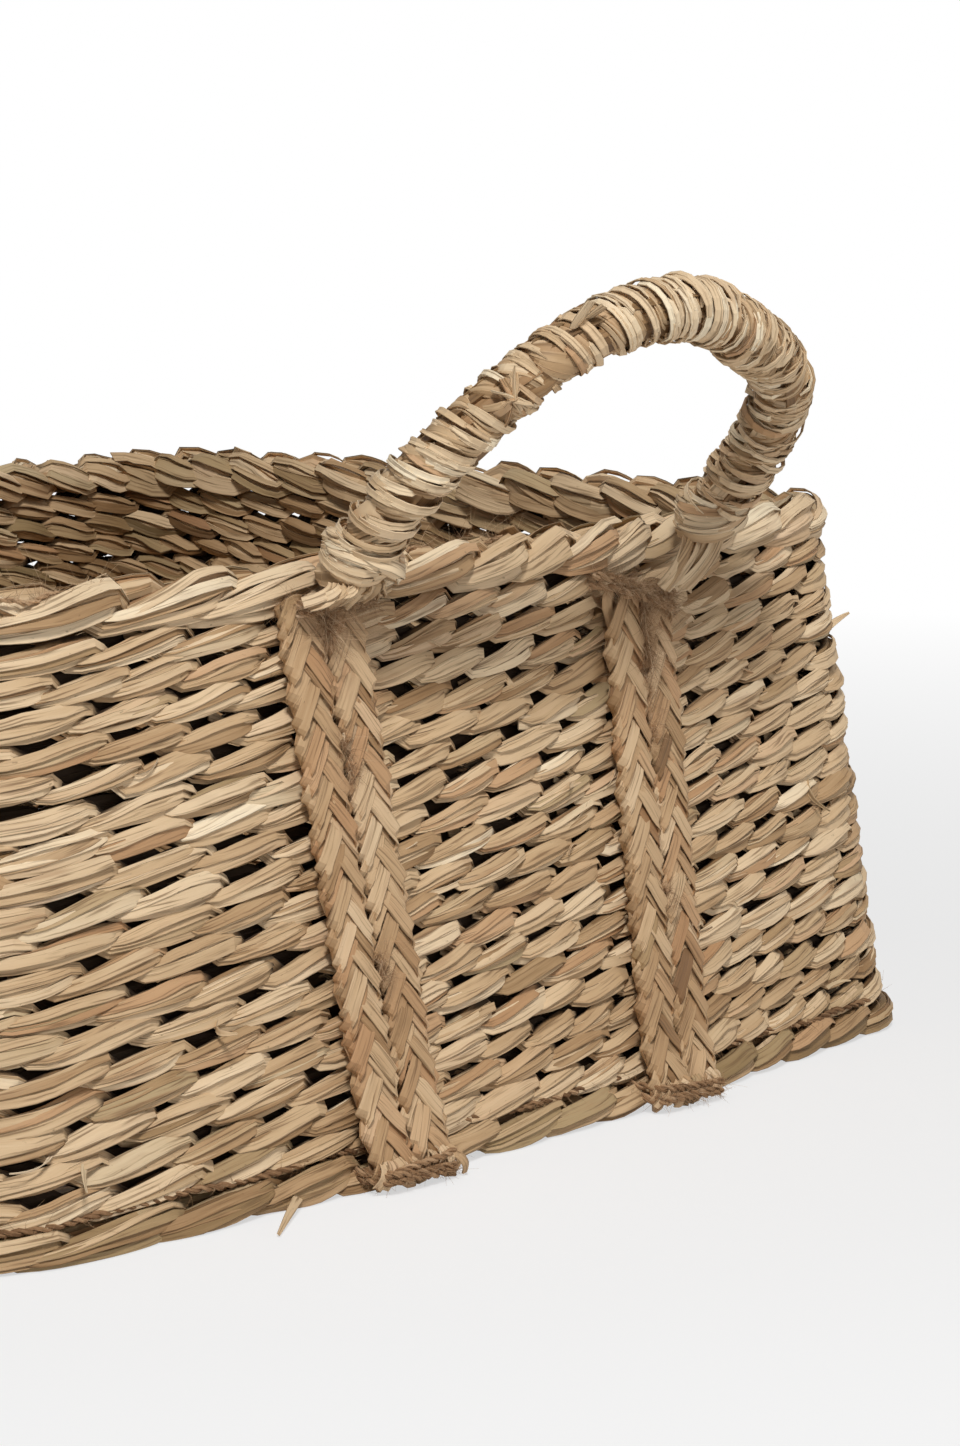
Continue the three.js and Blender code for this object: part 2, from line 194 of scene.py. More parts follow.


# %% [markdown]
# Dry seagrass is a flat ribbed leaf, 3 to 8 mm wide. Its colour runs from pale straw through tan to
# olive grey, it has fine ribs along it, freckles, and pinkish or brown streaks where it was creased.
# One leaf is nearly one colour, so the tone is stored on the faces of each leaf and the shader adds the
# ribs, freckles and stains. The "grain" coordinates run across and along the leaf in metres, which keeps
# the ribs parallel to the leaf however it bends. Cracks between leaves, and leaf ends and sides that lie
# under others, are darkened with painted shade.

# %% Seagrass material
def rgb(red, green, blue):
    """A colour given in 0 to 255, as the linear values that a shader wants."""
    return (*(((v / 255 + 0.055) / 1.055) ** 2.4 for v in (red, green, blue)), 1)


leaf_tones = [
    (0.0, rgb(100, 72, 42)),
    (0.14, rgb(146, 112, 74)),
    (0.32, rgb(182, 148, 108)),
    (0.52, rgb(209, 178, 138)),
    (0.72, rgb(227, 199, 161)),
    (0.88, rgb(240, 216, 180)),
    (1.0, rgb(250, 232, 200)),
]
object_place = 3  # the output of a Texture Coordinate node that moves with the object


def noise(vector, scale, detail):
    sockets = {"Vector": vector, "Scale": scale, "Detail": detail}
    return vector.node("ShaderNodeTexNoise", {"noise_dimensions": "3D"}, sockets)


def grain_noise(grain, across, along, detail=3.0):
    """Noise drawn out along a leaf. Across and along are how often it changes in a metre."""
    place = grain.node("ShaderNodeVectorMath", {"operation": "MULTIPLY"}, {0: grain, 1: (across, along, 1)})
    return noise(place, 1.0, detail)


def start_finish(name, *attributes):
    """A new material with its wire and its grain, and the values of the mesh that it reads."""
    material = bpy.data.materials.new(name)
    material.use_nodes = True
    wire = Wire(material.node_tree)
    grain = wire.node("ShaderNodeUVMap", {"uv_map": "grain"})
    values = [wire.node("ShaderNodeAttribute", {"attribute_name": value}, output=2) for value in attributes]
    return material, wire, grain, values


def seagrass(name, warmth=0.0, darkness=0.0):
    """A leaf finish. Warmth turns it from straw to tan, and darkness takes it down a little."""
    material, wire, grain, (tone, tint, groove) = start_finish(name, "tone", "tint", "groove")
    ribs = grain_noise(grain, 1500, 42, 2.0)
    bands = grain_noise(grain, 480, 24)
    flecks = grain_noise(grain, 900, 330)
    patches = noise(wire.node("ShaderNodeTexCoord", output=object_place), 22.0, 3.0)

    level_of_tone = tone + (bands - 0.5) * 0.34 + (ribs - 0.5) * 0.22 + (patches - 0.5) * 0.3 - darkness
    colour = wire.node("ShaderNodeValToRGB", {"stops": leaf_tones}, {"Fac": level_of_tone})
    coats = {
        "olive": (tint.between(0.7, 1.0) * 0.42, rgb(142, 128, 88)),
        "pinkish": (tint.between(0.3, 0.0) * 0.5 + warmth, rgb(192, 144, 102)),
        "stain": ((bands * patches).between(0.3, 0.42) * 0.5, rgb(150, 106, 66)),
        "freckle": (flecks.between(0.68, 0.76) * 0.55, rgb(104, 78, 48)),
        "between ribs": (ribs.between(0.46, 0.32) * 0.7, rgb(112, 84, 54)),
        # painted shade: the groove value darkens cracks, hidden leaf ends and sides, and the inside of the wall
        "painted shade": (groove.between(0.56, 0.98) * 0.96, rgb(44, 27, 11)),
    }
    for share, coat in coats.values():
        colour = wire.colour_mix(share, colour, coat)

    height = ribs * 0.55 + bands * 0.45
    bump = wire.node("ShaderNodeBump", sockets={"Strength": 0.8, "Distance": 0.0005, "Height": height})
    wire.plug(material.node_tree.nodes["Principled BSDF"], {
        "Base Color": colour, "Normal": bump, "Roughness": 0.52 + bands * 0.2 + groove * 0.2,
        "Specular IOR Level": 0.38,
    })
    return material


row_finish = seagrass("seagrass_row")
braid_finish = seagrass("seagrass_braid", darkness=-0.03)
plait_finish = seagrass("seagrass_plait", warmth=0.12)
wrap_finish = seagrass("seagrass_wrap", darkness=-0.06)
mat_finish = seagrass("seagrass_mat", darkness=0.12)
print("seagrass finishes made")

# %% [markdown]
# A strand is a handful of leaves laid together. It could be a tube with a bump map, but the photograph
# shows each leaf's edge riding over its neighbour and throwing a shadow. So the section of a strand here
# is a ring of leaves like shingles: each starts low under the last one, has one fold, and ends high.
# Widths and folds change at random knots with straight runs between, which gives the kinked, papery look.

# %% Random wandering and directions along a line
def smoothed(share):
    return share * share * (3 - 2 * share)


def blend_between(low, high, share):
    return low + (high - low) * share


def fade(distance, reach):
    """1 at no distance, and down in a straight line to 0 at the reach."""
    return np.clip(1 - distance / reach, 0, 1)


def wander(rng, along, spacing, smooth=False):
    """A random value of about -1 to 1 that changes along a length, with knots about a spacing apart."""
    start, end = along[0], along[-1]
    count = max(int((end - start) / spacing) + 2, 3)
    places = np.linspace(start, end, count)
    places[1:-1] += rng.uniform(-0.35, 0.35, count - 2) * (end - start) / count
    values = np.clip(rng.normal(0, 0.55, count), -1.3, 1.3)
    if not smooth:
        return np.interp(along, places, values)
    index = np.clip(np.searchsorted(places, along, side="right") - 1, 0, count - 2)
    share = smoothed((along - places[index]) / (places[index + 1] - places[index]))
    return values[index] * (1 - share) + values[index + 1] * share


def lengths_along(points):
    steps = np.linalg.norm(np.diff(points, axis=0), axis=1)
    return np.concatenate([[0], np.cumsum(steps)])


def unit(vectors):
    return vectors / np.maximum(np.linalg.norm(vectors, axis=-1, keepdims=True), 1e-12)


def tangents(points):
    return unit(np.gradient(points, axis=0))


def square_to(direction, vectors):
    """The vectors turned until they are at right angles to the direction, one unit long."""
    return unit(vectors - (vectors * direction).sum(1, keepdims=True) * direction)


def sampled(rows, marks, places):
    """Rows of three values that belong to marks, read off at places between the marks."""
    return np.stack([np.interp(places, marks, rows[:, axis]) for axis in range(3)], axis=1)


# %% [markdown]
# Each strand is kept as plain arrays until its piece is finished: corner points, four-sided faces, and
# for each face the leaf's tone and tint. The bake coordinates lay all strands of a piece out in strips.

# %% One strand of leaves
points_per_leaf = 3
leaf_fold_spacing = 17 * MM
leaf_change_spacing = 95 * MM
leaf_widths = (0.7, 1.35)  # of the narrowest and the broadest leaf, against the usual width
leaf_sway = 0.42  # how much a leaf's width changes along it
leaf_sink = 0.26  # how much lower a leaf starts where it has sunk under the last one
leaf_lift = 0.2  # how much higher than that it may end
face_square = np.array([[0.0, 0.0], [0.0, 1.0], [1.0, 1.0], [1.0, 0.0]])
cap_size = 4 * MM  # the face of a cut end, in its grain and bake coordinates


def tube_faces(count, columns):
    """Faces between each ring of points and the next, with the ring and the column of each face."""
    step, column = (number.ravel() for number in np.indices((count - 1, columns)))
    after = (column + 1) % columns
    here, there = step * columns, (step + 1) * columns
    return np.stack([here + column, here + after, there + after, there + column], axis=1), step, column


def face_corners(first, first_next, second, second_next):
    """The four corners of each face, as two coordinates. The second one changes first."""
    pairs = ((first, second), (first, second_next), (first_next, second_next), (first_next, second))
    return np.stack([np.stack(pair, axis=1) for pair in pairs], axis=1)


def strand(rng, points, wide, thin, half_wide, half_thin, leaves=6, twist=9.0, tone=0.55, tone_spread=0.2,
           tint=0.5, tint_spread=0.25, rough=1.0, changes=None, hidden=None):
    """A closed body of leaves along points. Wide and thin are the directions of its section's axes.
    Changes numbers the stretches in which each leaf keeps its tone. Hidden gives, for the strand's
    points, how much painted shade they get by how deep they lie in the piece, from 0 on its face to 1."""
    count = len(points)
    along = lengths_along(points)
    if changes is None:
        changes = along / leaf_change_spacing + rng.random()
    columns = leaves * points_per_leaf
    sways = [wander(rng, along, leaf_fold_spacing * 1.6) for _ in range(leaves)]
    widths = 1 + leaf_sway * rough * np.array(sways)
    widths *= rng.uniform(*leaf_widths, (leaves, 1))
    widths = np.maximum(widths, 0.3)
    widths /= widths.sum(axis=0)
    edges = np.vstack([np.zeros(count), np.cumsum(widths, axis=0)])
    turn = rng.uniform(0, 1) + along * twist / (2 * math.pi)
    angles = np.empty((count, columns))
    radii = np.empty((count, columns))
    dark = np.zeros((count, columns))
    for leaf in range(leaves):
        start, end = edges[leaf], edges[leaf + 1]
        fold = 0.5 + 0.24 * wander(rng, along, leaf_fold_spacing)
        crease = np.clip(0.4 + 0.8 * wander(rng, along, leaf_fold_spacing), -0.1, 1.1)
        flat = np.maximum(np.cos(math.pi * (end - start)), 0.8)
        swell = 1 + 0.1 * rough * wander(rng, along, leaf_fold_spacing * 0.8)
        lift = leaf_lift * rough * np.maximum(wander(rng, along, leaf_fold_spacing * 1.3) - 0.2, 0)
        gap = np.clip(1.5 * wander(rng, along, leaf_fold_spacing) + 0.3, 0, 1)
        first = leaf * points_per_leaf
        angles[:, first] = start + 0.03 * (end - start)
        angles[:, first + 1] = start + fold * (end - start)
        angles[:, first + 2] = start + 0.985 * (end - start)
        radii[:, first] = swell * (0.95 - leaf_sink * rough * gap)
        radii[:, first + 1] = swell * blend_between(flat, 1.0, crease)
        radii[:, first + 2] = swell + lift
        # painted shade in the gap where a leaf sinks under the last one
        dark[:, first] = 0.15 + 0.8 * gap
    around = 2 * math.pi * (angles + turn[:, None])
    across = np.asarray(half_wide).reshape(-1, 1) * radii * np.cos(around)
    out = np.asarray(half_thin).reshape(-1, 1) * radii * np.sin(around)
    ring = points[:, None, :] + across[..., None] * wide[:, None, :] + out[..., None] * thin[:, None, :]

    quads, step, column = tube_faces(count, columns)
    leaf = column // points_per_leaf
    change = np.floor(changes - changes.min()).astype(int)[step]
    table = rng.normal(0, 1, (leaves, change.max() + 1))
    tints = rng.normal(0, 1, table.shape)
    face_tone = np.clip(tone + tone_spread * table[leaf, change], 0.02, 0.98)
    face_tint = np.clip(tint + tint_spread * tints[leaf, change], 0, 1)

    perimeter = math.pi * float(np.mean(half_wide) + np.mean(half_thin))
    aside, ahead = rng.random((leaves, 2))[leaf].T
    share_here, share_next = column / columns, (column + 1) / columns
    grain = face_corners(along[step] + ahead, along[step + 1] + ahead,
                         share_here * perimeter + aside, share_next * perimeter + aside)[..., ::-1]
    bake = face_corners(along[step], along[step + 1], share_here, share_next)
    groove = dark.ravel()
    # painted shade by how deep a point lies in the piece
    if hidden is not None:
        groove = np.maximum(groove, hidden(ring).ravel())
    part = {
        "points": ring.reshape(-1, 3), "faces": quads, "tone": face_tone, "tint": face_tint,
        "groove": groove, "grain": grain, "bake": bake, "length": along[-1], "perimeter": perimeter,
    }
    close_ends(part, points, count, columns)
    return part


def close_ends(part, points, count, columns):
    """Adds a fan of faces over each end of a strand, as four-sided faces round a middle point."""
    first_middle = len(part["points"])
    here = np.arange(0, columns - 1, 2)
    wrap = (here + 2) % columns
    top = (count - 1) * columns
    start = np.stack([here, np.full_like(here, first_middle), wrap, here + 1], axis=1)
    end = np.stack([top + here, top + here + 1, top + wrap, np.full_like(here, first_middle + 1)], axis=1)
    caps = np.vstack([start, end])
    if columns % 2:
        last = columns - 1
        caps = np.vstack([caps, [[last, first_middle, 0, 0], [top + last, top, first_middle + 1, top + last]]])
    number = len(caps)
    grain = np.tile(face_square * cap_size, (number, 1, 1))
    bake = np.tile(face_square * [cap_size, 1], (number, 1, 1))
    bake[len(start):, :, 0] += max(part["length"] - cap_size, 0)
    added = {
        # the middle point of each cut end gets painted shade through its groove value
        "points": [points[0], points[-1]], "groove": [0.6, 0.6], "faces": caps, "tone": np.full(number, 0.3),
        "tint": np.full(number, 0.5), "grain": grain, "bake": bake,
    }
    for key, values in added.items():
        part[key] = np.concatenate([part[key], values])


# %% [markdown]
# On top of each strand lie single leaves: flat ribbons with a crease, which come out from under a
# crossing, run over the strand and dive under the next. They give the crisp edges and cut ends of the
# photograph, which a strand's closed section can't, because a leaf that lifts throws a real shadow.

# %% Single leaves
rusty_share = 0.035  # of the leaves dried to a rusty pink
broad_share = 0.3  # of the strands show broad leaves
shingle = 0.42  # how far leaves face up, so that each one's lower edge lies over the next
row_half_wide = 3.6 * MM
ribbon_section = ((-1, 0), (-0.86, 0.7), (0, 1), (0.86, 0.7), (1, 0), (0.8, -1), (0, 0), (-0.8, -1))


def ribbon(rng, points, normal, half_width, thickness=0.35 * MM, crease=0.16, tone=0.6, tint=0.5,
           tone_spread=0.14, tint_spread=0.2, shade=None, edges=(0.9, 0.82)):
    """One flat leaf along points, with its face to the normal and a crease along it. Shade is how
    dark each point is painted as shade, from 0 to 1, and edges is the same for its two edges."""
    count, columns = len(points), len(ribbon_section)
    along = lengths_along(points)
    direction = tangents(points)
    normal = square_to(direction, normal)
    side = np.cross(direction, normal)
    half_width = np.broadcast_to(half_width, (count,))
    fold = 0.45 * wander(rng, along, 0.02)
    ridge = crease * half_width * (0.5 + wander(rng, along, 0.018))
    ring = np.empty((count, columns, 3))
    for column, (place, level) in enumerate(ribbon_section):
        at_fold = place == 0
        across = half_width * (fold if at_fold else place)
        out = (ridge if at_fold else 0.14 * ridge * (level > 0)) + (level - 1 if at_fold else level) * thickness
        ring[:, column] = points + across[:, None] * side + out[:, None] * normal
    faces, step, column = tube_faces(count, columns)
    number = len(faces)
    leaf_tone = np.clip(tone + tone_spread * rng.normal(), 0.02, 0.98)
    hue = np.clip(tint + tint_spread * rng.normal(), 0, 1)
    if rng.random() < rusty_share:
        leaf_tone, hue = 0.7 * leaf_tone, 0.0
    width = float(half_width.mean()) * 2
    aside, ahead = rng.random(2)
    places = np.array([place for place, level in ribbon_section] + [-1]) * width / 2 + aside
    grain = face_corners(places[column], places[column + 1], along[step] + ahead, along[step + 1] + ahead)
    bake = face_corners(column / columns, (column + 1) / columns, along[step], along[step + 1])[..., ::-1]
    # painted shade: the edges, the fold and the underside of each leaf are darkened
    groove = np.tile([edges[0], 0.3, 0, 0.3, edges[1], 0.5, 0.5, 0.5], count)
    if shade is not None:
        groove = np.maximum(groove, np.repeat(shade, columns))
    part = {
        "points": ring.reshape(-1, 3), "faces": faces[:, [0, 3, 2, 1]], "tone": np.full(number, leaf_tone),
        "tint": np.full(number, hue), "groove": groove, "grain": grain, "bake": bake, "length": along[-1],
        "perimeter": 2 * width,
    }
    close_ends(part, points, count, columns)
    part["tone"][number:] = leaf_tone
    return part


loose_share = 0.2  # of the leaves have a free end that stands off the strand
leaf_drift = 0.3  # how far a leaf runs aside from its end to its other end, in half widths of the strand
roundness = 2.6  # of a strand's section: 2 would be an oval, and more is squarer
dive_share = 0.2  # of a leaf's length, over which each end dives under its neighbours
free_share = 0.3  # of its length, over which a free end lifts or a leaf tapers
broad_width = 1.65  # of a broad leaf, against the others
shortest_leaf = 4  # steps; less than that would be a crumb
fold_under = math.radians(115)  # how far a leaf turns over the edge of a flat plait


def lay_leaves(rng, body, peaks, half_spans, sign, number, half_width, lanes, **options):
    """Leaves on a strand's face. Body holds the strand's arrays, peaks are the steps at which it is
    nearest to the face, and lanes are the places across its width, in shares of its half width."""
    parts = []
    last = len(body["points"]) - 1
    half_spans = np.broadcast_to(half_spans, last + 1)
    for peak in peaks:
        half_span = half_spans[peak]
        slots = np.linspace(lanes[0], lanes[1], number) + rng.normal(0, 0.12, number)
        broad = rng.random() < broad_share
        if broad:
            slots = slots[::2]
        for order, slot in enumerate(rng.permutation(slots)):
            start = max(peak - round(half_span * rng.uniform(0.75, 1.0)), 0)
            end = min(peak + round(half_span * rng.uniform(0.75, 1.0)), last)
            if end - start < shortest_leaf:
                continue
            points, wide, thin, half_wide, half_thin = (
                body[key][start:end + 1] for key in ("points", "wide", "thin", "half_wide", "half_thin"))
            share = np.linspace(0, 1, end - start + 1)
            place = slot + rng.normal(0, leaf_drift) * (share - 0.5) + 0.1 * wander(rng, share * 0.05, 0.015)
            place = np.clip(place, -0.93, 0.93)
            dive = fade(np.minimum(share, 1 - share), dive_share) ** 2
            free = rng.random() < loose_share
            if free:
                from_end = share if rng.random() < 0.5 else 1 - share
                dive = np.where(from_end < 0.5, -0.45 * fade(from_end, free_share) ** 2, dive)
            level = 1.0 + 0.07 * order + rng.uniform(0, 0.06) - 0.5 * dive
            up_share = (1 - np.abs(place) ** roundness) ** (1 / roundness)
            line = (points + (place * half_wide * level)[:, None] * wide
                    + (sign * up_share * half_thin * level)[:, None] * thin)
            normal = ((0.6 * place / half_wide - shingle / row_half_wide)[:, None] * wide
                      + (sign * up_share / half_thin)[:, None] * thin)
            taper = 1 - 0.85 * fade(share, free_share) ** 1.5 - 0.35 * fade(1 - share, 0.14) ** 2
            if free:
                taper = np.where(from_end < 0.5, 1, taper)
            width_now = half_width * rng.uniform(0.6, 1.35) * taper * (broad_width if broad else 1)
            width_now = width_now * (1 + 0.15 * wander(rng, share * 0.04, 0.01))
            # painted shade where a leaf's ends dive under its neighbours, and on its upper edge under the leaf
            # above
            shade = np.clip(0.3 + 0.85 * dive, 0, 1)
            parts.append(ribbon(rng, line, normal, width_now, shade=shade, edges=(1.0, 0.86), **options))
    return parts


def chevron_leaves(rng, plaited, spot, way, number, half_width, **options):
    """Leaves side by side on a flat plait, from its middle out and down to one edge, where they fold under.
    Plaited holds the plait's arrays and sizes, spot is a distance along it, and way is -1 or 1."""
    parts = []
    share = np.concatenate([np.linspace(0, 0.72, 7), np.linspace(0.78, 1, 5)])
    fold = np.clip((share - 0.7) / 0.3, 0, 1)
    for leaf in range(number):
        aside = (leaf + 0.5) / number * 2 - 1
        shift = 0.46 * plaited["spacing"] * aside + rng.normal(0, 0.7) * MM
        along = np.clip(spot + shift + plaited["run"] * (share - 0.5), plaited["along"][0], plaited["along"][-1])
        reached = np.interp(share, [0, 0.72, 0.86, 1], [-0.28, 0.88, 0.98, 0.7])
        out = way * plaited["edge"] * (0.94 - 0.07 * aside ** 2 + rng.normal(0, 0.02)) * reached
        under = 1.8 * MM * fade(share, free_share) ** 2 + 4.2 * MM * fold ** 1.5
        rise = plaited["level"] + (rng.uniform(0, 0.5) - 0.9 * aside) * MM - under
        middle, side, face = (
            sampled(plaited[rows], plaited["along"], along) for rows in ("middle", "side", "face"))
        line = middle + out[:, None] * side + rise[:, None] * face
        down = tangents(middle)
        turned_over = (fold * fold_under)[:, None]
        normal = face * np.cos(turned_over) + way * side * np.sin(turned_over) - 0.2 * down * (1 - fold)[:, None]
        width_now = half_width * rng.uniform(0.75, 1.1) * (1 - 0.2 * fade(share, free_share))
        # painted shade where a leaf starts under the others in the middle of the plait
        shade = np.clip(1 - share / 0.26, 0, 0.95)
        parts.append(ribbon(rng, line, normal + 0.06 * rng.normal(0, 1, 3), width_now, shade=shade, **options))
    return parts


# %% [markdown]
# A piece joins its strands into one mesh. The points go in as whole arrays, because a loop over a million
# corners would be slow. Sharp angles stay sharp, so that leaf edges look cut and leaf faces look flat.

# %% Strands to a piece
sharp_angle = math.radians(13)
floor_clearance = 0.3 * MM  # hairs and leaf ends that reach the floor lie flat on it


def make_piece(name, parts, finish, slot, body, *nodes):
    """One mesh of all parts, with its finish, which hides the named nodes and moves with a body."""
    def joined(key):
        return np.concatenate([p[key] for p in parts])

    points = joined("points")
    points[:, 2] = np.maximum(points[:, 2], floor_clearance)
    offsets = np.cumsum([0] + [len(p["points"]) for p in parts])
    faces = np.vstack([p["faces"] + offset for p, offset in zip(parts, offsets)])
    three_sided = (faces[:, 3] == faces[:, 2]) | (faces[:, 3] == faces[:, 0])
    keep = np.ones(faces.shape, bool)
    keep[three_sided, 3] = False

    mesh = bpy.data.meshes.new(name)
    mesh.vertices.add(len(points))
    mesh.vertices.foreach_set("co", points.astype(np.float32).ravel())
    corners = faces[keep]
    mesh.loops.add(len(corners))
    mesh.loops.foreach_set("vertex_index", corners.astype(np.int32))
    mesh.polygons.add(len(faces))
    starts = np.concatenate([[0], np.cumsum(keep.sum(axis=1))[:-1]])
    mesh.polygons.foreach_set("loop_start", starts.astype(np.int32))
    mesh.update(calc_edges=True)

    for key, domain in (("tone", "FACE"), ("tint", "FACE"), ("groove", "POINT")):
        mesh.attributes.new(key, "FLOAT", domain).data.foreach_set("value", joined(key).astype(np.float32))
    for layer, places in (("grain", joined("grain")), ("OFBake", strips(parts))):
        mesh.uv_layers.new(name=layer).data.foreach_set("uv", places[keep].astype(np.float32).ravel())
    mesh.shade_smooth()
    mesh.set_sharp_from_angle(angle=sharp_angle)

    piece = bpy.data.objects.new(name, mesh)
    bpy.context.scene.collection.objects.link(piece)
    mesh.materials.append(finish)
    if nodes:
        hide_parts(*nodes)
    if body:
        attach(piece, body)
    return piece


def strips(parts):
    """Lays the strands of a piece end to end, cut into strips that fill a square."""
    total = sum(p["length"] for p in parts)
    height = sum(p["perimeter"] * p["length"] for p in parts) / total
    rows = max(round(math.sqrt(total / height)), 1)
    run = total / rows
    laid = []
    before = 0.0
    for p in parts:
        bake = p["bake"].copy()
        bake[:, :, 0] += before
        before += p["length"]
        row = np.clip(np.floor(bake[:, :1, 0].min(axis=1) / run), 0, rows - 1)[:, None]
        overrun = 0.02 * run + 0.006
        u = (bake[:, :, 0] - row * run) / (run + overrun)
        v = (row + 0.02 + 0.96 * bake[:, :, 1]) / rows
        laid.append(np.stack([np.clip(u, 0, 1), v], axis=2))
    return np.concatenate(laid)


# %% [markdown]
# The wall is a rounded rectangle that leans in towards the rim, with each side bowed out a little.
# It is described by how far round it a point is, from 0 to 1, and how high. The winding starts on the
# left side, two thirds of the way back, where each row climbs to the next.

# %% The wall's outline
def section(height):
    """The wall's length, depth, corner radius and bow at a height."""
    sizes = ((base_length, rim_length), (base_depth, rim_depth), (base_corner_radius, rim_corner_radius),
             (base_bow, rim_bow))
    return (blend_between(base, rim, height / wall_height) for base, rim in sizes)


def wall_outline(turn, height):
    """Places round the wall, as arrays of x and y, at a share of a turn and a height."""
    length, depth, radius, bow = section(height)
    half_x = length / 2 - radius
    half_y = depth / 2 - radius

    mean_radius = (base_corner_radius + rim_corner_radius) / 2
    side_x = (base_length + rim_length) / 2 - 2 * mean_radius
    side_y = (base_depth + rim_depth) / 2 - 2 * mean_radius
    arc = math.pi / 2 * mean_radius
    runs = np.array([side_y * 2 / 3, arc, side_x, arc, side_y, arc, side_x, arc, side_y / 3])
    marks = np.concatenate([[0], np.cumsum(runs)]) / runs.sum()
    index = np.clip(np.searchsorted(marks, turn, side="right") - 1, 0, len(runs) - 1)
    local = (turn - marks[index]) / (marks[index + 1] - marks[index])

    x = np.zeros_like(turn)
    y = np.zeros_like(turn)
    edge_x = half_x + radius
    edge_y = half_y + radius
    straights = {
        0: (-edge_x, half_y / 3, -edge_x, -half_y),
        2: (-half_x, -edge_y, half_x, -edge_y),
        4: (edge_x, -half_y, edge_x, half_y),
        6: (half_x, edge_y, -half_x, edge_y),
        8: (-edge_x, half_y, -edge_x, half_y / 3),
    }
    for number, (x0, y0, x1, y1) in straights.items():
        here = index == number
        x = np.where(here, blend_between(x0, x1, local), x)
        y = np.where(here, blend_between(y0, y1, local), y)
    corners = {1: (-1, -1, 2), 3: (1, -1, 3), 5: (1, 1, 0), 7: (-1, 1, 1)}
    for number, (sign_x, sign_y, quarter) in corners.items():
        here = index == number
        angle = (quarter + local) * math.pi / 2
        x = np.where(here, sign_x * half_x + radius * np.cos(angle), x)
        y = np.where(here, sign_y * half_y + radius * np.sin(angle), y)

    along_x = bow * np.cos(math.pi * x / length)
    along_y = bow * np.cos(math.pi * y / depth)
    near_x = np.abs(2 * x / length) ** 4
    near_y = np.abs(2 * y / depth) ** 4
    return x + np.sign(x) * along_y * near_x, y + np.sign(y) * along_x * near_y


climb_start = 0.94
wall_turn_length = 1.49


def level_directions(points):
    """The outward and upward directions at each point of a line round the wall."""
    forward_now = tangents(points * [1, 1, 0])
    outward = np.stack([forward_now[:, 1], -forward_now[:, 0], np.zeros(len(points))], axis=1)
    return outward, np.tile([0.0, 0.0, 1.0], (len(points), 1))


def wall_line(turns, first_z, pitch):
    """Middle line of a winding, with the outward and upward directions at each point."""
    row = np.floor(turns)
    turn = turns - row
    climb = np.clip((turn - climb_start) / (1 - climb_start), 0, 1)
    z = first_z + pitch * (row + climb)
    points = np.stack([*wall_outline(turn, z), z], axis=1)
    return points, *level_directions(points)


# %% [markdown]
# Three strands make a plait: each swings from side to side and dips under the others twice as often.
# In the wall the plait stands on its edge. That is why the outside shows strands that all rise to the
# right, while the inside shows strands that rise to the left: a twisted rope would look alike from both.

# %% Plaited strands
strands_per_plait = 3
standing_crossing = 72  # degrees from the edge at which a strand passes over its neighbour
flat_crossing = 60
standing_change = math.radians(197)  # where new leaves begin, out of sight
flat_change = math.radians(135)
bundle_span = 0.31  # of a period, how far a bundle's leaves run to each side of its peak
inside_leaves_painted_darker = 0.2  # in tone, the leaves on the inside of the wall, as painted shade
inside_tint = 0.76
inside_painted_shade = 0.5  # painted shade: the inside of the wall is darker
flat_run = 18 * MM  # along a flat plait, how far one leaf goes from its middle to its edge
flat_peak = 0.28  # of half a swing before an edge, where a flat plait's strand lies on top
seam_length = 30 * MM  # at each end of a plait, where its strands keep to their places
edge_stay = 0.7  # below 1, a standing plait's strands stay longer at its two edges
widest_place = math.radians(30)  # past the edge, where a standing plait's strand is widest
# How much each measure of a plait changes along it, over what length, and whether it does so smoothly.
sways = {
    "pace": (0.16, 90 * MM, True), "wobble": (0.16, 50 * MM, True), "swing": (0.12, 40 * MM, True),
    "lift": (0.15, 40 * MM, True), "width": (0.18, 20 * MM, False), "thickness": (0.12, 25 * MM, False),
}


def straight_runs(angle, crossing):
    """How far over or under the middle a strand is, from -1 to 1, at angles from the edge."""
    places = np.array([-crossing, 0, crossing, 180 - crossing, 180, 180 + crossing, 360 - crossing])
    return np.interp(np.degrees(angle) % 360, places % 360, [-1, 0, 1, -1, 0, 1, -1], period=360)


def slack(middle):
    """How many times its usual length a bundle has. The plait was pulled less tight over the front's left
    half than elsewhere, and tighter at the back."""
    to_front = np.clip(-middle[:, 1] / (150 * MM), -1, 1)
    to_left = np.clip((60 * MM - middle[:, 0]) / (230 * MM), 0, 1)
    return 1 + np.where(to_front > 0, 0.5 * to_left * to_front, 0.16 * to_front)


def rises(values):
    """The steps at which the values pass a whole number on their way up."""
    return np.flatnonzero(np.diff(np.floor(values)) > 0)


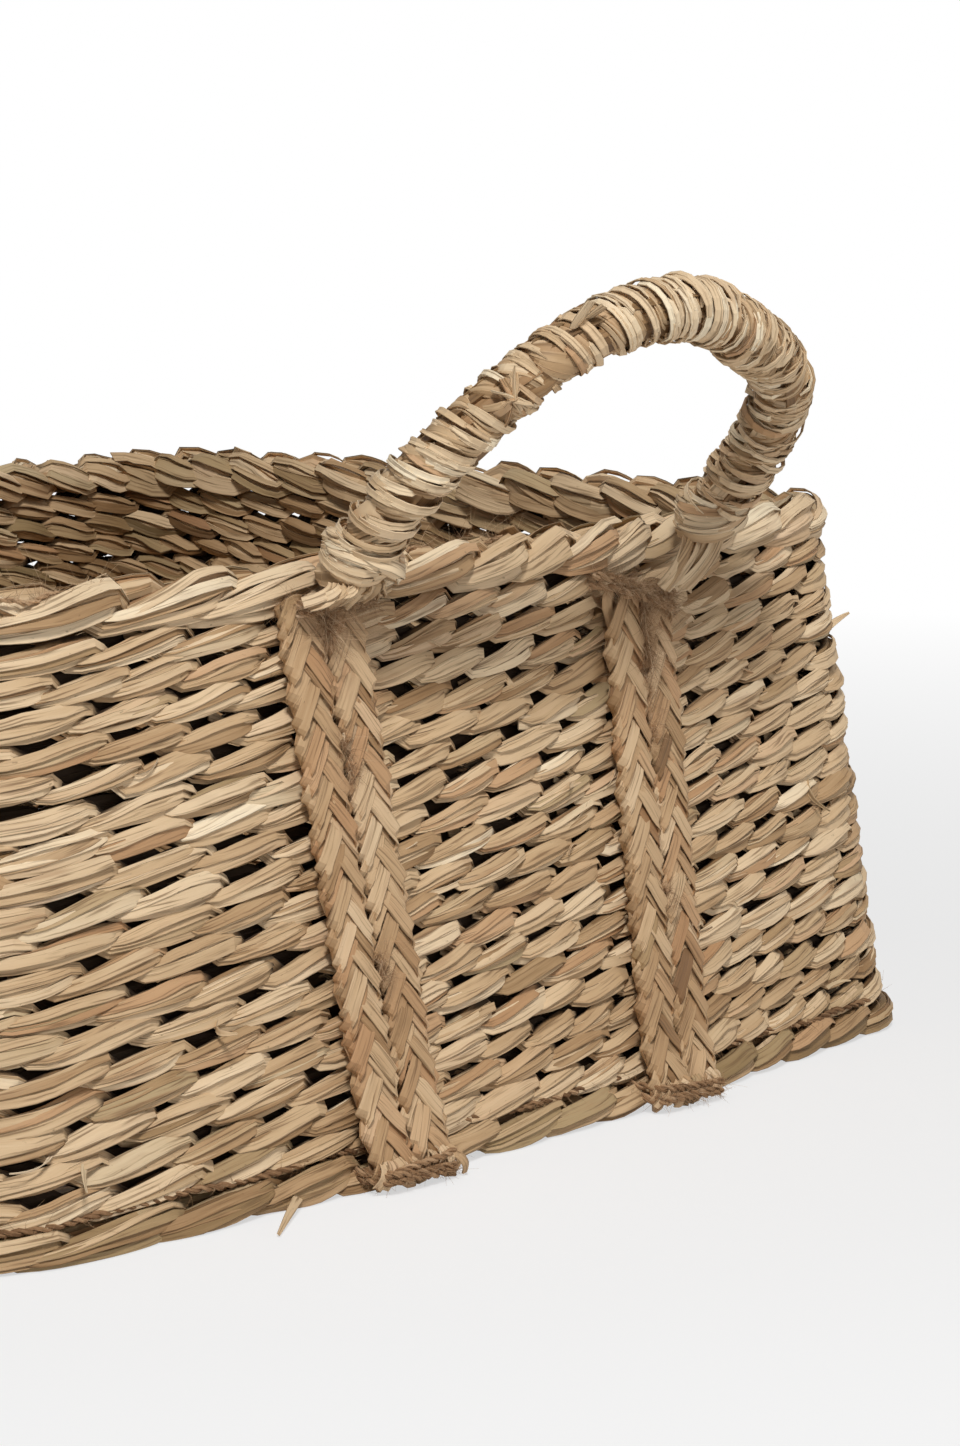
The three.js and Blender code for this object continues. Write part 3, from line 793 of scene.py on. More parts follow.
def plait(rng, middle, side, face, reach, dip, half_wide, half_thin, period, standing=False,
          narrowing=0.28, loose=1.0, painted_core_shade=False, outer_leaves=0, inner_leaves=0, leaf_half_width=2 * MM,
          lanes=(-0.6, 0.6), leaf_tone=0.5, closed=False, carry=None, **leaf_options):
    """Three strands along a middle line. They swing along side and dip along face. A closed plait ends
    as it starts. Carry hands the place in the swing on to the plait that goes on from a given step."""
    along = lengths_along(middle)

    def sway(measure, faded=1):
        amount, spacing, smooth = sways[measure]
        return amount * loose * faded * wander(rng, along, spacing, smooth)

    pace = 1 + sway("pace")
    if standing:
        pace = pace / slack(middle)
    phase = 2 * math.pi * np.cumsum(np.gradient(along) * pace) / period
    phase = phase - phase[0]
    if closed:
        phase *= round(phase[-1] / (2 * math.pi)) * 2 * math.pi / phase[-1]
    if carry:
        phase = phase + carry["phase"]
        carry["phase"] = phase[carry["step"]]
    else:
        phase = phase + rng.uniform(0, 2 * math.pi)
    seam_fade = np.clip(np.minimum(along, along[-1] - along) / seam_length, 0, 1)
    outermost = reach + half_thin

    # painted shade: darker the deeper a point lies in the row, and darker on the inside of the wall
    def depth(ring):
        out = ((ring - middle[:, None, :]) * side[:, None, :]).sum(2) / outermost
        return np.maximum(np.clip((0.78 - np.abs(out)) / 0.3, 0, 1), inside_painted_shade * (out < 0))

    parts = []
    for number in range(strands_per_plait):
        angle = phase + 2 * math.pi * number / strands_per_plait + sway("wobble", seam_fade)
        from_edge = angle - math.pi / 2
        if standing:
            swing = np.sign(np.sin(angle)) * np.abs(np.sin(angle)) ** edge_stay
            crossing, flat_side = standing_crossing, side
            widest = np.clip(np.cos(from_edge - widest_place), 0, 1) ** 1.4
            widest = widest + np.clip(-np.cos(from_edge), 0, 1)
            changes = (angle - standing_change) / (2 * math.pi)
        else:
            swing = np.interp(np.degrees(angle) % 360, [0, 90, 270, 360], [0, 1, -1, 0])
            crossing, flat_side = flat_crossing, face
            widest = 1 - np.sin(angle) ** 2
            changes = (angle - flat_change) / math.pi
        swing = reach * swing * (1 + sway("swing"))
        lift = dip * straight_runs(from_edge, crossing) * (1 + sway("lift"))
        points = middle + swing[:, None] * side + lift[:, None] * face
        direction = tangents(points)
        thin = square_to(direction, flat_side)
        body = {
            "points": points, "wide": np.cross(direction, thin), "thin": thin,
            "half_wide": half_wide * (1 - narrowing + narrowing * widest) * (1 + sway("width")),
            "half_thin": half_thin * (1 + sway("thickness")),
        }
        parts.append(strand(rng, **body, twist=rng.uniform(-14, 14), changes=changes,
                            hidden=depth if painted_core_shade else None, **leaf_options))

        turns = from_edge / (2 * math.pi)
        laid = {"half_width": leaf_half_width, "tint": leaf_options.get("tint", 0.5), "tone": leaf_tone}
        if standing:
            spans = bundle_span * period / float(np.mean(np.diff(along))) / pace
            parts += lay_leaves(rng, body, rises(turns), spans, 1, outer_leaves, lanes=lanes, **laid)
            # leaves on the inside of the wall get painted shade as a lower tone, and an olive tint
            laid.update(tone=leaf_tone - inside_leaves_painted_darker, tint=inside_tint)
            parts += lay_leaves(rng, body, rises(turns + 0.5), spans, -1, inner_leaves, lanes=lanes, **laid)
            continue
        plaited = {
            "along": along, "middle": middle, "side": side, "face": face, "edge": reach + 0.8 * half_wide,
            "level": abs(dip) + half_thin, "spacing": period / strands_per_plait, "run": flat_run,
        }
        for spot in rises(2 * turns + flat_peak):
            number_here = outer_leaves - (outer_leaves > 0 and rng.random() < 0.5)
            parts += chevron_leaves(rng, plaited, along[spot], np.sign(swing[spot]), number_here,
                                    thickness=0.45 * MM, **laid)
    return parts


# %% [markdown]
# The wall: eighteen rows of one standing plait. Each row is a piece of its own, so that none is too heavy.
# The rows wander by up to a millimetre, as a hand-sewn wall does, and a few are paler or darker than others.

# %% Wall rows
strand_step = 4 * MM
row_reach = 3.6 * MM
row_dip = 3.0 * MM
row_half_thin = 2.6 * MM
row_period = 65 * MM
row_narrowing = 0.46
steps_per_turn = round(wall_turn_length / strand_step)
row_overlap_steps = 7  # a row runs on into the next, so that no gap shows where they meet
settling = 40 * MM  # how far from its ends a middle line begins to stray fully


def wandering(rng, middle, outward, upward, far_out, far_up):
    """A middle line that strays a little from its true place, except at its ends."""
    along = lengths_along(middle)
    free = np.clip(np.minimum(along, along[-1] - along) / settling, 0, 1)
    out = far_out * free * wander(rng, along, 90 * MM, smooth=True)
    rise = far_up * free * wander(rng, along, 60 * MM, smooth=True)
    return middle + outward * out[:, None] + upward * rise[:, None]


def wall_rows():
    carry = {"phase": 0.0, "step": steps_per_turn}
    for row in range(row_count):
        rng = np.random.default_rng(100 + row)
        more = 0 if row == row_count - 1 else row_overlap_steps
        turns = row + np.arange(steps_per_turn + more + 1) / steps_per_turn
        if not more:
            turns[-1] -= 1e-9
        middle, outward, upward = wall_line(turns, first_row_z, row_pitch)
        middle = wandering(rng, middle, outward, upward, 0.6 * MM, 0.7 * MM)
        # The strands under the single leaves are lower in tone than the leaves: painted shade in the gaps between
        # leaves.
        parts = plait(rng, middle, outward, upward, row_reach, row_dip, row_half_wide, row_half_thin,
                      row_period, carry=carry, standing=True, narrowing=row_narrowing, painted_core_shade=True, leaves=6,
                      tone=0.44 + 0.04 * rng.normal(), tone_spread=0.16, leaf_tone=0.53 + 0.05 * rng.normal(),
                      outer_leaves=4, inner_leaves=2, leaf_half_width=1.6 * MM, lanes=(-0.62, 0.6))
        make_piece(f"wall_row_{row + 1:02d}", parts, row_finish, "seagrass_row", "basket", "wall_plait")


wall_rows()
print("wall rows made")

# %% [markdown]
# The rim and the base are edged with a thicker plait of the same kind, closed into a ring. The rim's is
# pale and loose, and the base's is dark and olive; part of that darkness is painted shade near the floor.
# The ring closes behind a strap at the back, where its ends are hidden.

# %% Rim and base braids
braid_seam_turn = 0.745  # a braid's two ends meet behind a strap at the back


def edge_braid(name, seed, node, height, **options):
    rng = np.random.default_rng(seed)
    turns = braid_seam_turn + np.linspace(0, 1 - 1e-9, steps_per_turn + 1)
    middle, outward, upward = wall_line(turns, height, 0)
    middle = wandering(rng, middle, outward, upward, 0.8 * MM, 0.8 * MM)
    parts = plait(rng, middle, outward, upward, standing=True, closed=True, **options)
    make_piece(name, parts, braid_finish, "seagrass_braid", "basket", node)


# In both braids the strands under the leaves are lower in tone than the leaves: painted shade in the gaps.
edge_braid("rim_braid_strands", 41, "rim_braid", rim_braid_bottom + 6.6 * MM, period=72 * MM, reach=5.2 * MM,
           dip=3.9 * MM, half_wide=4.9 * MM, half_thin=3.8 * MM, narrowing=0.4, loose=1.5, leaves=6, rough=1.5,
           tone=0.48, tone_spread=0.17, leaf_tone=0.68, outer_leaves=5, inner_leaves=3,
           leaf_half_width=1.75 * MM, lanes=(-0.9, 0.8))
edge_braid("base_braid_strands", 42, "base_edge_braid", base_braid_height / 2, period=76 * MM, reach=4.9 * MM,
           dip=2.4 * MM, half_wide=4.2 * MM, half_thin=3.6 * MM, narrowing=0.45, leaves=7, tone=0.22,
           tone_spread=0.15, tint=0.75, outer_leaves=4, leaf_tone=0.29, leaf_half_width=1.8 * MM)
print("edge braids made")

# %% [markdown]
# Two straps run down each long side. Each is a pair of flat plaits side by side, with their strands
# spreading outward on the way down. The back of the basket is the front turned half round, so each
# fitting is made for the front and turned, with new random leaves.

# %% Straps
strap_spacing_top = 146 * MM
strap_spacing_bottom = 130 * MM
strap_shift_top = -2.5 * MM
strap_shift_bottom = 4 * MM
plait_width = 16.5 * MM
plait_thickness = 7.5 * MM
strap_bottom = 3 * MM
pivot_below_rim = 0.5 * MM
pivot_z = wall_height - pivot_below_rim
strap_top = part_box("front_left_strap_plait_left")[1].z
plait_period = 45 * MM
plait_step = 2.2 * MM
lashing_lift = {"left": 8 * MM, "right": -2.5 * MM}  # up from the plain lashing's place
rightward = np.array([1.0, 0.0, 0.0])
front_outward = np.array([0.0, -1.0, 0.0])
upward_now = np.array([0.0, 0.0, 1.0])
plait_reach = 5.4 * MM
plait_dip = 1.2 * MM
plait_half_wide = 3.6 * MM
plait_half_thin = 1.6 * MM
leaf_share = np.linspace(0, 1, 9)[:, None]  # places along a short leaf, from its start to its end
splayed_leaves = 7  # cut ends at the foot of each plait of a strap


def bowed(start, end, belly):
    """A short leaf's line from a start to an end, pushed out at its middle."""
    return start + (end - start) * leaf_share + belly * (4 * leaf_share * (1 - leaf_share))


def facing(direction):
    """The same direction at each place along a short leaf."""
    return np.tile(direction, (len(leaf_share), 1))


def smooth_share(value, low, high):
    return smoothed(np.clip((value - low) / (high - low), 0, 1))


def front_y(x, z):
    """Where the middle of the wall's plait lies on the front."""
    length, depth, _, bow = section(z)
    return -depth / 2 - bow * np.cos(math.pi * x / length)


def strap_x(side, z):
    share = (z - strap_bottom) / (strap_top - strap_bottom)
    shift = blend_between(strap_shift_bottom, strap_shift_top, share)
    return side * blend_between(strap_spacing_bottom, strap_spacing_top, share) / 2 + shift


def strap_line(side, shift, top, bottom, lift=0.0, step=plait_step):
    """Middle line down a strap, beside its centre by a shift, with the directions across and outward."""
    z = np.linspace(top, bottom, round((top - bottom) / step) + 1)
    x = strap_x(side, z) + shift
    on_rows = row_width / 2 + seat_gap + plait_thickness / 2
    on_braid = base_braid_width / 2 + seat_gap + plait_thickness / 2
    offset = blend_between(on_braid, on_rows, smooth_share(z, base_braid_height - 3 * MM, first_row_z + row_pitch))
    points = np.stack([x, front_y(x, z) - offset - lift, z], axis=1)
    down = tangents(points)
    rise = (front_y(x + plait_width, z) - front_y(x - plait_width, z)) / (2 * plait_width)
    across = unit(np.stack([np.ones_like(z), rise, np.zeros_like(z)], axis=1))
    outward = unit(np.cross(down, across))
    return points, across, outward


def turned(parts, face):
    """The same parts for the back, turned half round the upright axis."""
    if face == "back":
        for part in parts:
            part["points"] = part["points"] * [-1, -1, 1]
    return parts


def splayed_ends(rng, middle, across, outward):
    """The cut ends of a plait's leaves, which fan out over the lashing at the bottom of the strap."""
    parts = []
    last_across, last_outward = across[-1], outward[-1]
    for spread in rng.permutation(np.linspace(-1, 1, splayed_leaves)):
        top = middle[-round(9 * MM / plait_step)] + last_across * spread * 5 * MM + last_outward * 3 * MM
        foot = middle[-1] + last_across * (spread * 8.5 + rng.normal(0, 1)) * MM
        foot = foot + last_outward * rng.uniform(1, 4) * MM - upward_now * rng.uniform(-2, 2) * MM
        line = bowed(top, foot, last_outward * rng.uniform(1.5, 3.5) * MM)
        normal = facing(last_outward + 0.3 * rng.normal(0, 1, 3))
        parts.append(ribbon(rng, line, normal, rng.uniform(1.2, 2.2) * MM, crease=0.4, tone=0.52, tint=0.4))
    return parts


def make_strap(face, side_name, side, seed):
    for name, way in (("left", -1), ("right", 1)):
        rng = np.random.default_rng(seed + way)
        top = strap_top + lashing_lift[side_name] - 3.5 * MM
        middle, across, outward = strap_line(side, way * (plait_width + seat_gap) / 2, top, strap_bottom)
        # The strands under the leaves are lower in tone than the leaves: painted shade in the gaps.
        parts = plait(rng, middle, across, outward, plait_reach, -plait_dip, plait_half_wide, plait_half_thin,
                      plait_period, narrowing=0.15, loose=0.3, leaves=5, tone=0.4, tone_spread=0.1,
                      tint=0.35, tint_spread=0.15, rough=0.7, leaf_tone=0.43, outer_leaves=3,
                      leaf_half_width=2.9 * MM)
        parts += splayed_ends(rng, middle, across, outward)
        stem = f"{face}_{side_name}_strap_plait_{name}"
        make_piece(stem + "_strands", turned(parts, face), plait_finish, "seagrass_plait", "basket", stem)


faces = ("front", "back")
sides = (("left", -1), ("right", 1))
fittings = [(face, *side, number) for number, face in enumerate(faces) for side in sides]
for face, side_name, side, face_number in fittings:
    make_strap(face, side_name, side, 200 + 20 * face_number + 5 * side)
print("straps made")

# %% [markdown]
# Each handle is an arch that leans outward from its two feet. Carrying has pressed it out of round.

# %% The handles' arch
handle_span = 164 * MM
handle_shift = 12 * MM
handle_leg = 16 * MM
handle_lean = math.radians(41)
core_radius = 8 * MM
handle_radius = 12.3 * MM
arch_radius = handle_span / 2
arch_length = 2 * handle_leg + math.pi * arch_radius
# places along the arch where carrying has pressed it in, and by how much; a minus sign is outward
handle_dents = ((0.2, 2.4 * MM), (0.38, -2.6 * MM), (0.64, 6.2 * MM), (0.82, -6 * MM))
dent_reach = 0.13  # of the arch's length, over which a dent fades
slender_place = 0.28  # the left leg is wound a little tighter than the rest
slender_by = 0.13
pivot_y = next(j["pos_m"][1] for j in frame["joints"] if j["name"] == "front_handle_swing")
lean_up = np.array([0, -math.sin(handle_lean), math.cos(handle_lean)])
lean_normal = np.array([0, -math.cos(handle_lean), -math.sin(handle_lean)])
handle_origin = np.array([handle_shift, pivot_y, pivot_z])


def arch(distance):
    """Points on a handle's middle line, with the directions along it and outward in its plane."""
    angle = math.pi - np.clip((distance - handle_leg) / arch_radius, 0, math.pi)
    below = np.minimum(distance, handle_leg) + np.minimum(arch_length - distance, handle_leg) - handle_leg
    x = arch_radius * np.cos(angle)
    z = arch_radius * np.sin(angle) + below
    outward = np.cos(angle)[:, None] * [1, 0, 0] + np.sin(angle)[:, None] * lean_up
    points = handle_origin + x[:, None] * [1, 0, 0] + z[:, None] * lean_up
    share = distance / arch_length
    for place, inward in handle_dents:
        points = points - outward * (inward * np.exp(-((share - place) / dent_reach) ** 2))[:, None]
    along = np.sin(angle)[:, None] * [1, 0, 0] - np.cos(angle)[:, None] * lean_up
    return points, along, outward


def slenderness(distance):
    return 1 - slender_by * np.exp(-((distance / arch_length - slender_place) / dent_reach) ** 2)


print("handle arch", round(arch_length / MM), "mm long")

# %% [markdown]
# A handle is a bundle of stems with a band of leaf wound tightly round it. Single leaves lie along the
# turns and cross them here and there. The turns are wide on the left leg and close together over the top
# and down the right leg, as in the photograph.

# %% Handle windings
wide_pitch = 9 * MM
close_pitch = 6.6 * MM
steps_per_wrap = 28
foot_reach = 7 * MM  # how far the winding goes on below the pivot
band_radius = 6.6 * MM
band_half_thin = 2.2 * MM
band_overlap = 0.46  # half the band's width, in pitches


def pitch_at(distance):
    """How far apart two turns of the winding are at a distance along the handle."""
    return blend_between(wide_pitch, close_pitch, smooth_share(distance, 0.3 * arch_length, 0.5 * arch_length))


def turned_towards(angle, first, second):
    """The first direction turned towards the second by each angle."""
    return np.cos(angle)[:, None] * first + np.sin(angle)[:, None] * second


def winding_band(rng):
    """The band wound round the handle from one foot to the other."""
    distance = [-foot_reach]
    while distance[-1] < arch_length + foot_reach:
        distance.append(distance[-1] + pitch_at(distance[-1]) / steps_per_wrap)
    distance = np.array(distance)
    along = np.arange(len(distance)) * 2 * math.pi * handle_radius / steps_per_wrap
    turn = np.arange(len(distance)) / steps_per_wrap * 2 * math.pi + rng.uniform(0, 2 * math.pi)
    distance = distance + 0.9 * MM * wander(rng, along, 30 * MM, smooth=True)
    pitch = np.maximum(np.gradient(distance) * steps_per_wrap, 0.5 * close_pitch)
    centre, forward_now, outward = arch(distance)
    radial = turned_towards(turn, outward, lean_normal)
    radius = band_radius * slenderness(distance) + 0.5 * MM * wander(rng, along, 35 * MM, smooth=True)
    points = centre + radius[:, None] * radial
    direction = tangents(points)
    thin = square_to(direction, unit(radial + 0.1 * forward_now))
    half_wide = band_overlap * pitch * (1 + 0.12 * wander(rng, along, 30 * MM, smooth=True))
    return strand(rng, points, np.cross(direction, thin), thin, half_wide, band_half_thin, leaves=12, twist=120,
                  rough=1.3, tone=0.45, tone_spread=0.14, tint=0.45, tint_spread=0.12)


turn_starts = [-foot_reach]
while turn_starts[-1] < arch_length + foot_reach:
    turn_starts.append(turn_starts[-1] + pitch_at(turn_starts[-1]))
turn_count = len(turn_starts) - 1
wound_steps = 20  # points on a turn of a single leaf
bulge = 3.4 * MM  # how far the middle of a turn stands above its edges
bulge_base = 6.9 * MM
lanes_per_turn = 8


def winding_distance(turns):
    """How far up the handle the winding has come after a number of turns."""
    return np.interp(turns, np.arange(turn_count + 1), turn_starts)


def wound_leaf(rng, start, length, lane, drift, **options):
    """One leaf of the winding, from a turn on, in a lane from -1 to 1 across the turn's width."""
    turns = np.linspace(start, start + length, max(round(length * wound_steps), 6))
    share = np.linspace(0, 1, len(turns))
    distance = winding_distance(turns)
    pitch = winding_distance(turns + 0.5) - winding_distance(turns - 0.5)
    place = lane + drift * (share - 0.5)
    centre, forward_now, outward = arch(distance + place * pitch * 0.5)
    radial = turned_towards(2 * math.pi * turns, outward, lean_normal)
    inside = np.clip(np.abs(place), 0, 0.95)
    ends = np.minimum(share, 1 - share)
    dive = fade(ends, dive_share) ** 2
    radius = bulge_base + bulge * np.sqrt(1 - inside ** 2) + rng.uniform(-0.2, 0.6) * MM - 2.2 * MM * dive
    points = centre + (radius * slenderness(distance))[:, None] * radial
    normal = radial + 0.55 * place[:, None] * forward_now
    taper = 1 - 0.55 * fade(ends, free_share) ** 1.5
    half_width = rng.uniform(0.9, 1.7) * MM * taper
    return ribbon(rng, points, normal, half_width, **options)


def winding_leaves(rng):
    parts = []
    for turn in range(turn_count - 1):
        crossing_share = smooth_share(winding_distance(turn), 0.35 * arch_length, 0.6 * arch_length)
        for lane in rng.permutation(np.linspace(-0.75, 0.75, lanes_per_turn)):
            drift = rng.normal(0.7, 0.3) + crossing_share * rng.choice([-2.4, 0.9])
            parts.append(wound_leaf(rng, turn + rng.random(), rng.uniform(0.35, 0.6), lane + rng.normal(0, 0.15),
                                    drift, tone=0.68, tint=0.4, tint_spread=0.12, tone_spread=0.14))
    return parts


tuck_distance = 72 * MM
tuck_leaves = 14


def tuck_knot(rng):
    """The crumpled end of the winding, pushed under itself on the left leg."""
    centre, forward_now, outward = (row[0] for row in arch(np.array([tuck_distance])))
    face_out = unit(outward + 0.8 * lean_normal)
    across = np.cross(forward_now, face_out)
    middle = centre + face_out * 10 * MM
    parts = []
    for _ in range(tuck_leaves):
        angle = rng.uniform(0, 2 * math.pi)
        ray, swirl = (math.cos(way) * forward_now + math.sin(way) * across for way in (angle, angle + 1.3))
        reach = rng.uniform(5, 8.5) * MM
        rise = rng.uniform(1.2, 3.2) * MM
        line = (middle + ray * reach * (leaf_share - 0.12) + swirl * rng.normal(0, 2) * MM * leaf_share ** 2
                + face_out * (rise * np.sin(math.pi * (0.25 + 0.75 * leaf_share)) - 2.5 * MM * leaf_share ** 3))
        parts.append(ribbon(rng, line, facing(face_out + 0.6 * rng.normal(0, 1, 3)), rng.uniform(0.8, 1.7) * MM,
                            tone=0.48, tint=0.35, crease=0.5))
    return parts


stub_share = np.linspace(0, 1, 8)[:, None]  # places along a broken end
# Each stub's place along the arch, its length, and how far it leans out of the arch's plane.
stubs = ((0.335 * arch_length, 8.5 * MM, 0.0), (0.35 * arch_length, 5 * MM, 0.3))
core_points = 90


def stub_end(rng, distance, length, aside):
    """A cut leaf end that stands off the outside of the arch."""
    centre, forward_now, outward = (row[0] for row in arch(np.array([distance])))
    away = unit(outward + 0.35 * forward_now + aside * lean_normal)
    line = centre + outward * 9 * MM + away * length * stub_share + forward_now * 2.5 * MM * stub_share ** 2
    return ribbon(rng, line, np.tile(lean_normal, (len(line), 1)), 2.3 * MM, tone=0.66, crease=0.4)


def make_handle(face, seed):
    rng = np.random.default_rng(seed)
    points, _, outward = arch(np.linspace(0, arch_length, core_points))
    core = strand(rng, points, outward, np.tile(lean_normal, (core_points, 1)), core_radius, core_radius,
                  leaves=9, tone=0.1)
    band = winding_band(rng)
    stub_parts = [stub_end(rng, *stub) for stub in stubs]
    parts = turned([core, band] + winding_leaves(rng) + tuck_knot(rng) + stub_parts, face)
    nodes = (f"{face}_handle_core", f"{face}_handle_wrap", f"{face}_handle_tuck")
    piece = make_piece(f"{face}_handle_winding", parts, wrap_finish, "seagrass_wrap", None, *nodes)
    flip = np.array([-1, -1, 1] if face == "back" else [1, 1, 1])
    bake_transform(piece)


for face_number, face in enumerate(faces):
    make_handle(face, 300 + face_number)
print("handles made")

# %% [markdown]
# Jute is spun from fine fibres, so its twine is two plies with a cloud of loose hairs. The hairs are real
# three-sided threads, because they show against the pale leaves and give the lashings their soft outline.

# %% Jute finish
def jute_finish():
    material, wire, grain, (tone, groove) = start_finish("jute_twine", "tone", "groove")
    fibres = grain_noise(grain, 5000, 260)
    stops = [
        (0.0, rgb(112, 82, 56)),
        (0.35, rgb(160, 124, 90)),
        (0.7, rgb(198, 164, 128)),
        (1.0, rgb(226, 198, 164)),
    ]
    brown = wire.node("ShaderNodeValToRGB", {"stops": stops}, {"Fac": tone + (fibres - 0.5) * 0.7})
    # painted shade: the twine is darkened by its groove value, in the gaps between its fibre bundles
    colour = wire.colour_mix(groove.between(0.3, 1.0) * 0.7, brown, rgb(46, 30, 18))
    bump = wire.node("ShaderNodeBump", sockets={"Strength": 0.7, "Distance": 0.0003, "Height": fibres})
    wire.plug(material.node_tree.nodes["Principled BSDF"], {
        "Base Color": colour, "Normal": bump, "Roughness": 0.85, "Specular IOR Level": 0.2,
    })
    return material


twine_finish = jute_finish()


def twine(rng, line, radius, reference, turns_per_metre=130, tone=0.5):
    """Two twisted plies along a line. The reference is any direction that the line never runs along."""
    along = lengths_along(line)
    direction = tangents(line)
    first = unit(reference - (direction @ reference)[:, None] * direction)
    second = np.cross(direction, first)
    parts = []
    for ply in (0, 1):
        radial = turned_towards(2 * math.pi * turns_per_metre * along + math.pi * ply, first, second)
        points = line + 0.5 * radius * radial
        ply_direction = tangents(points)
        thin = square_to(ply_direction, radial)
        parts.append(strand(rng, points, np.cross(ply_direction, thin), thin, radius * 0.6, radius * 0.55,
                            leaves=4, twist=500, tone=tone, tone_spread=0.15, rough=0.8))
    return parts


def smooth_line(corners, step):
    """A curve through a few points, sampled at a step."""
    corners = np.asarray(corners, float)
    marks = lengths_along(corners)
    count = max(int(marks[-1] / step), 6)
    fine = np.linspace(0, marks[-1], count)
    line = sampled(corners, marks, fine)
    for _ in range(3):
        line[1:-1] = (line[:-2] + 2 * line[1:-1] + line[2:]) / 4
    return line


hair_sides = 3
hair_joints = 5
hair_radius = 0.08 * MM
hair_curl = 0.5
hair_cell = 0.5 * MM  # each hair face has a small square of its own for the baked colours


def hairs(rng, roots, directions, lengths, tone):
    """Thin threads from roots along directions, each bent its own way, as one part."""
    number = len(roots)
    share = np.linspace(0, 1, hair_joints)
    bend = rng.normal(0, hair_curl, (number, 1, 3))
    run = directions[:, None, :] * share[None, :, None] + bend * (share ** 2)[None, :, None]
    path = roots[:, None, :] + run * lengths[:, None, None]
    direction = unit(np.gradient(path, axis=1))
    reference = unit(rng.normal(0, 1, (number, 1, 3)))
    first = unit(np.cross(direction, np.broadcast_to(reference, direction.shape)))
    second = np.cross(direction, first)
    angle = np.arange(hair_sides) * 2 * math.pi / hair_sides
    thick = hair_radius * (1 - 0.75 * share)[None, :, None, None]
    ring = first[:, :, None, :] * np.cos(angle)[:, None] + second[:, :, None, :] * np.sin(angle)[:, None]
    points = (path[:, :, None, :] + thick * ring).reshape(-1, 3)
    per_hair = hair_joints * hair_sides
    top = per_hair - hair_sides
    ends = [[2, 1, 0, 0], [top, top + 1, top + 2, top + 2]]
    faces = np.vstack([tube_faces(hair_joints, hair_sides)[0], ends])
    all_faces = (np.arange(number)[:, None, None] * per_hair + faces).reshape(-1, 4)
    count = len(all_faces)
    shade = np.repeat(np.clip(rng.normal(tone, 0.2, number), 0, 1), len(faces))
    corner = face_square[:, ::-1]
    cell = np.arange(count)
    across = math.ceil(math.sqrt(count))
    spot = np.stack([cell % across, cell // across], axis=1)[:, None, :]
    return {
        "points": points, "faces": all_faces, "tone": shade, "tint": np.full(count, 0.4),
        "groove": np.zeros(len(points)), "grain": np.tile(corner * 0.002, (count, 1, 1)),
        "bake": (spot + 0.1 + 0.8 * corner) * [hair_cell, 1 / across], "length": across * hair_cell,
        "perimeter": across * hair_cell,
    }


def fuzz(rng, line, radius, number, shortest, longest, outward=None, tone=0.6):
    """Loose hairs that stand off a twine's line."""
    spots = rng.integers(0, len(line) - 1, number)
    tangent = tangents(line)[spots]
    away = unit(rng.normal(0, 1, (number, 3)))
    if outward is not None:
        away = unit(away + 0.9 * outward)
    direction = unit(away + tangent * rng.normal(0, 0.9, (number, 1)))
    roots = line[spots] + away * radius * 0.6
    return hairs(rng, roots, direction, rng.uniform(shortest, longest, number), tone)


# %% [markdown]
# A lashing goes three times round a strap and into the wall on both sides. The loops are staple-shaped
# paths, one above the other, with a tuft of loose jute hanging in the groove between the two plaits.

# %% Lashings and stitching
lashing_height = 6.5 * MM
lashing_twine_radius = 1.25 * MM
lashing_loop_count = 3
# Under backing is the half thickness of what the strap lies on there. Under moved is how far each side's
# lashing lies above and to the right of its plain place.
lashings = {
    "top": {
        "backing": row_width / 2, "tone": 0.62, "hairs": (420, 1.5 * MM, 7 * MM), "hair_tone": 0.66,
        "moved": {"left": (lashing_lift["left"], 5 * MM), "right": (lashing_lift["right"], 0)},
    },
    "bottom": {
        "backing": base_braid_width / 2, "tone": 0.36, "hairs": (170, 1 * MM, 4.5 * MM), "hair_tone": 0.45,
        "moved": {"left": (-1.5 * MM, 0), "right": (-1.5 * MM, 0)},
    },
}


def lashing_lines(rng, side, middle_z, slope, backing, shift):
    x = strap_x(side, middle_z) + shift
    half = plait_width + 0.4 * MM
    lines = []
    for loop in range(lashing_loop_count):
        z = middle_z + ((loop + 0.5) / lashing_loop_count - 0.5) * lashing_height * 0.9
        wall = front_y(np.array([x]), z)[0]
        front = wall - backing - plait_thickness - 2.6 * MM - 0.4 * MM * rng.random()
        tilt = slope + rng.normal(0, 0.05)
        corners = [
            (x - half - 1 * MM, wall + 1 * MM, z - tilt * half),
            (x - half, wall - backing - 1 * MM, z - tilt * half),
            (x - half * 0.86, front + 0.8 * MM, z - tilt * half * 0.86),
            (x - half * 0.3, front, z - tilt * half * 0.3 + rng.normal(0, 0.4) * MM),
            (x + half * 0.3, front, z + tilt * half * 0.3 + rng.normal(0, 0.4) * MM),
            (x + half * 0.86, front + 0.8 * MM, z + tilt * half * 0.86),
            (x + half, wall - backing - 1 * MM, z + tilt * half),
            (x + half + 1 * MM, wall + 1 * MM, z + tilt * half),
        ]
        lines.append(smooth_line(corners, 0.9 * MM))
    return lines


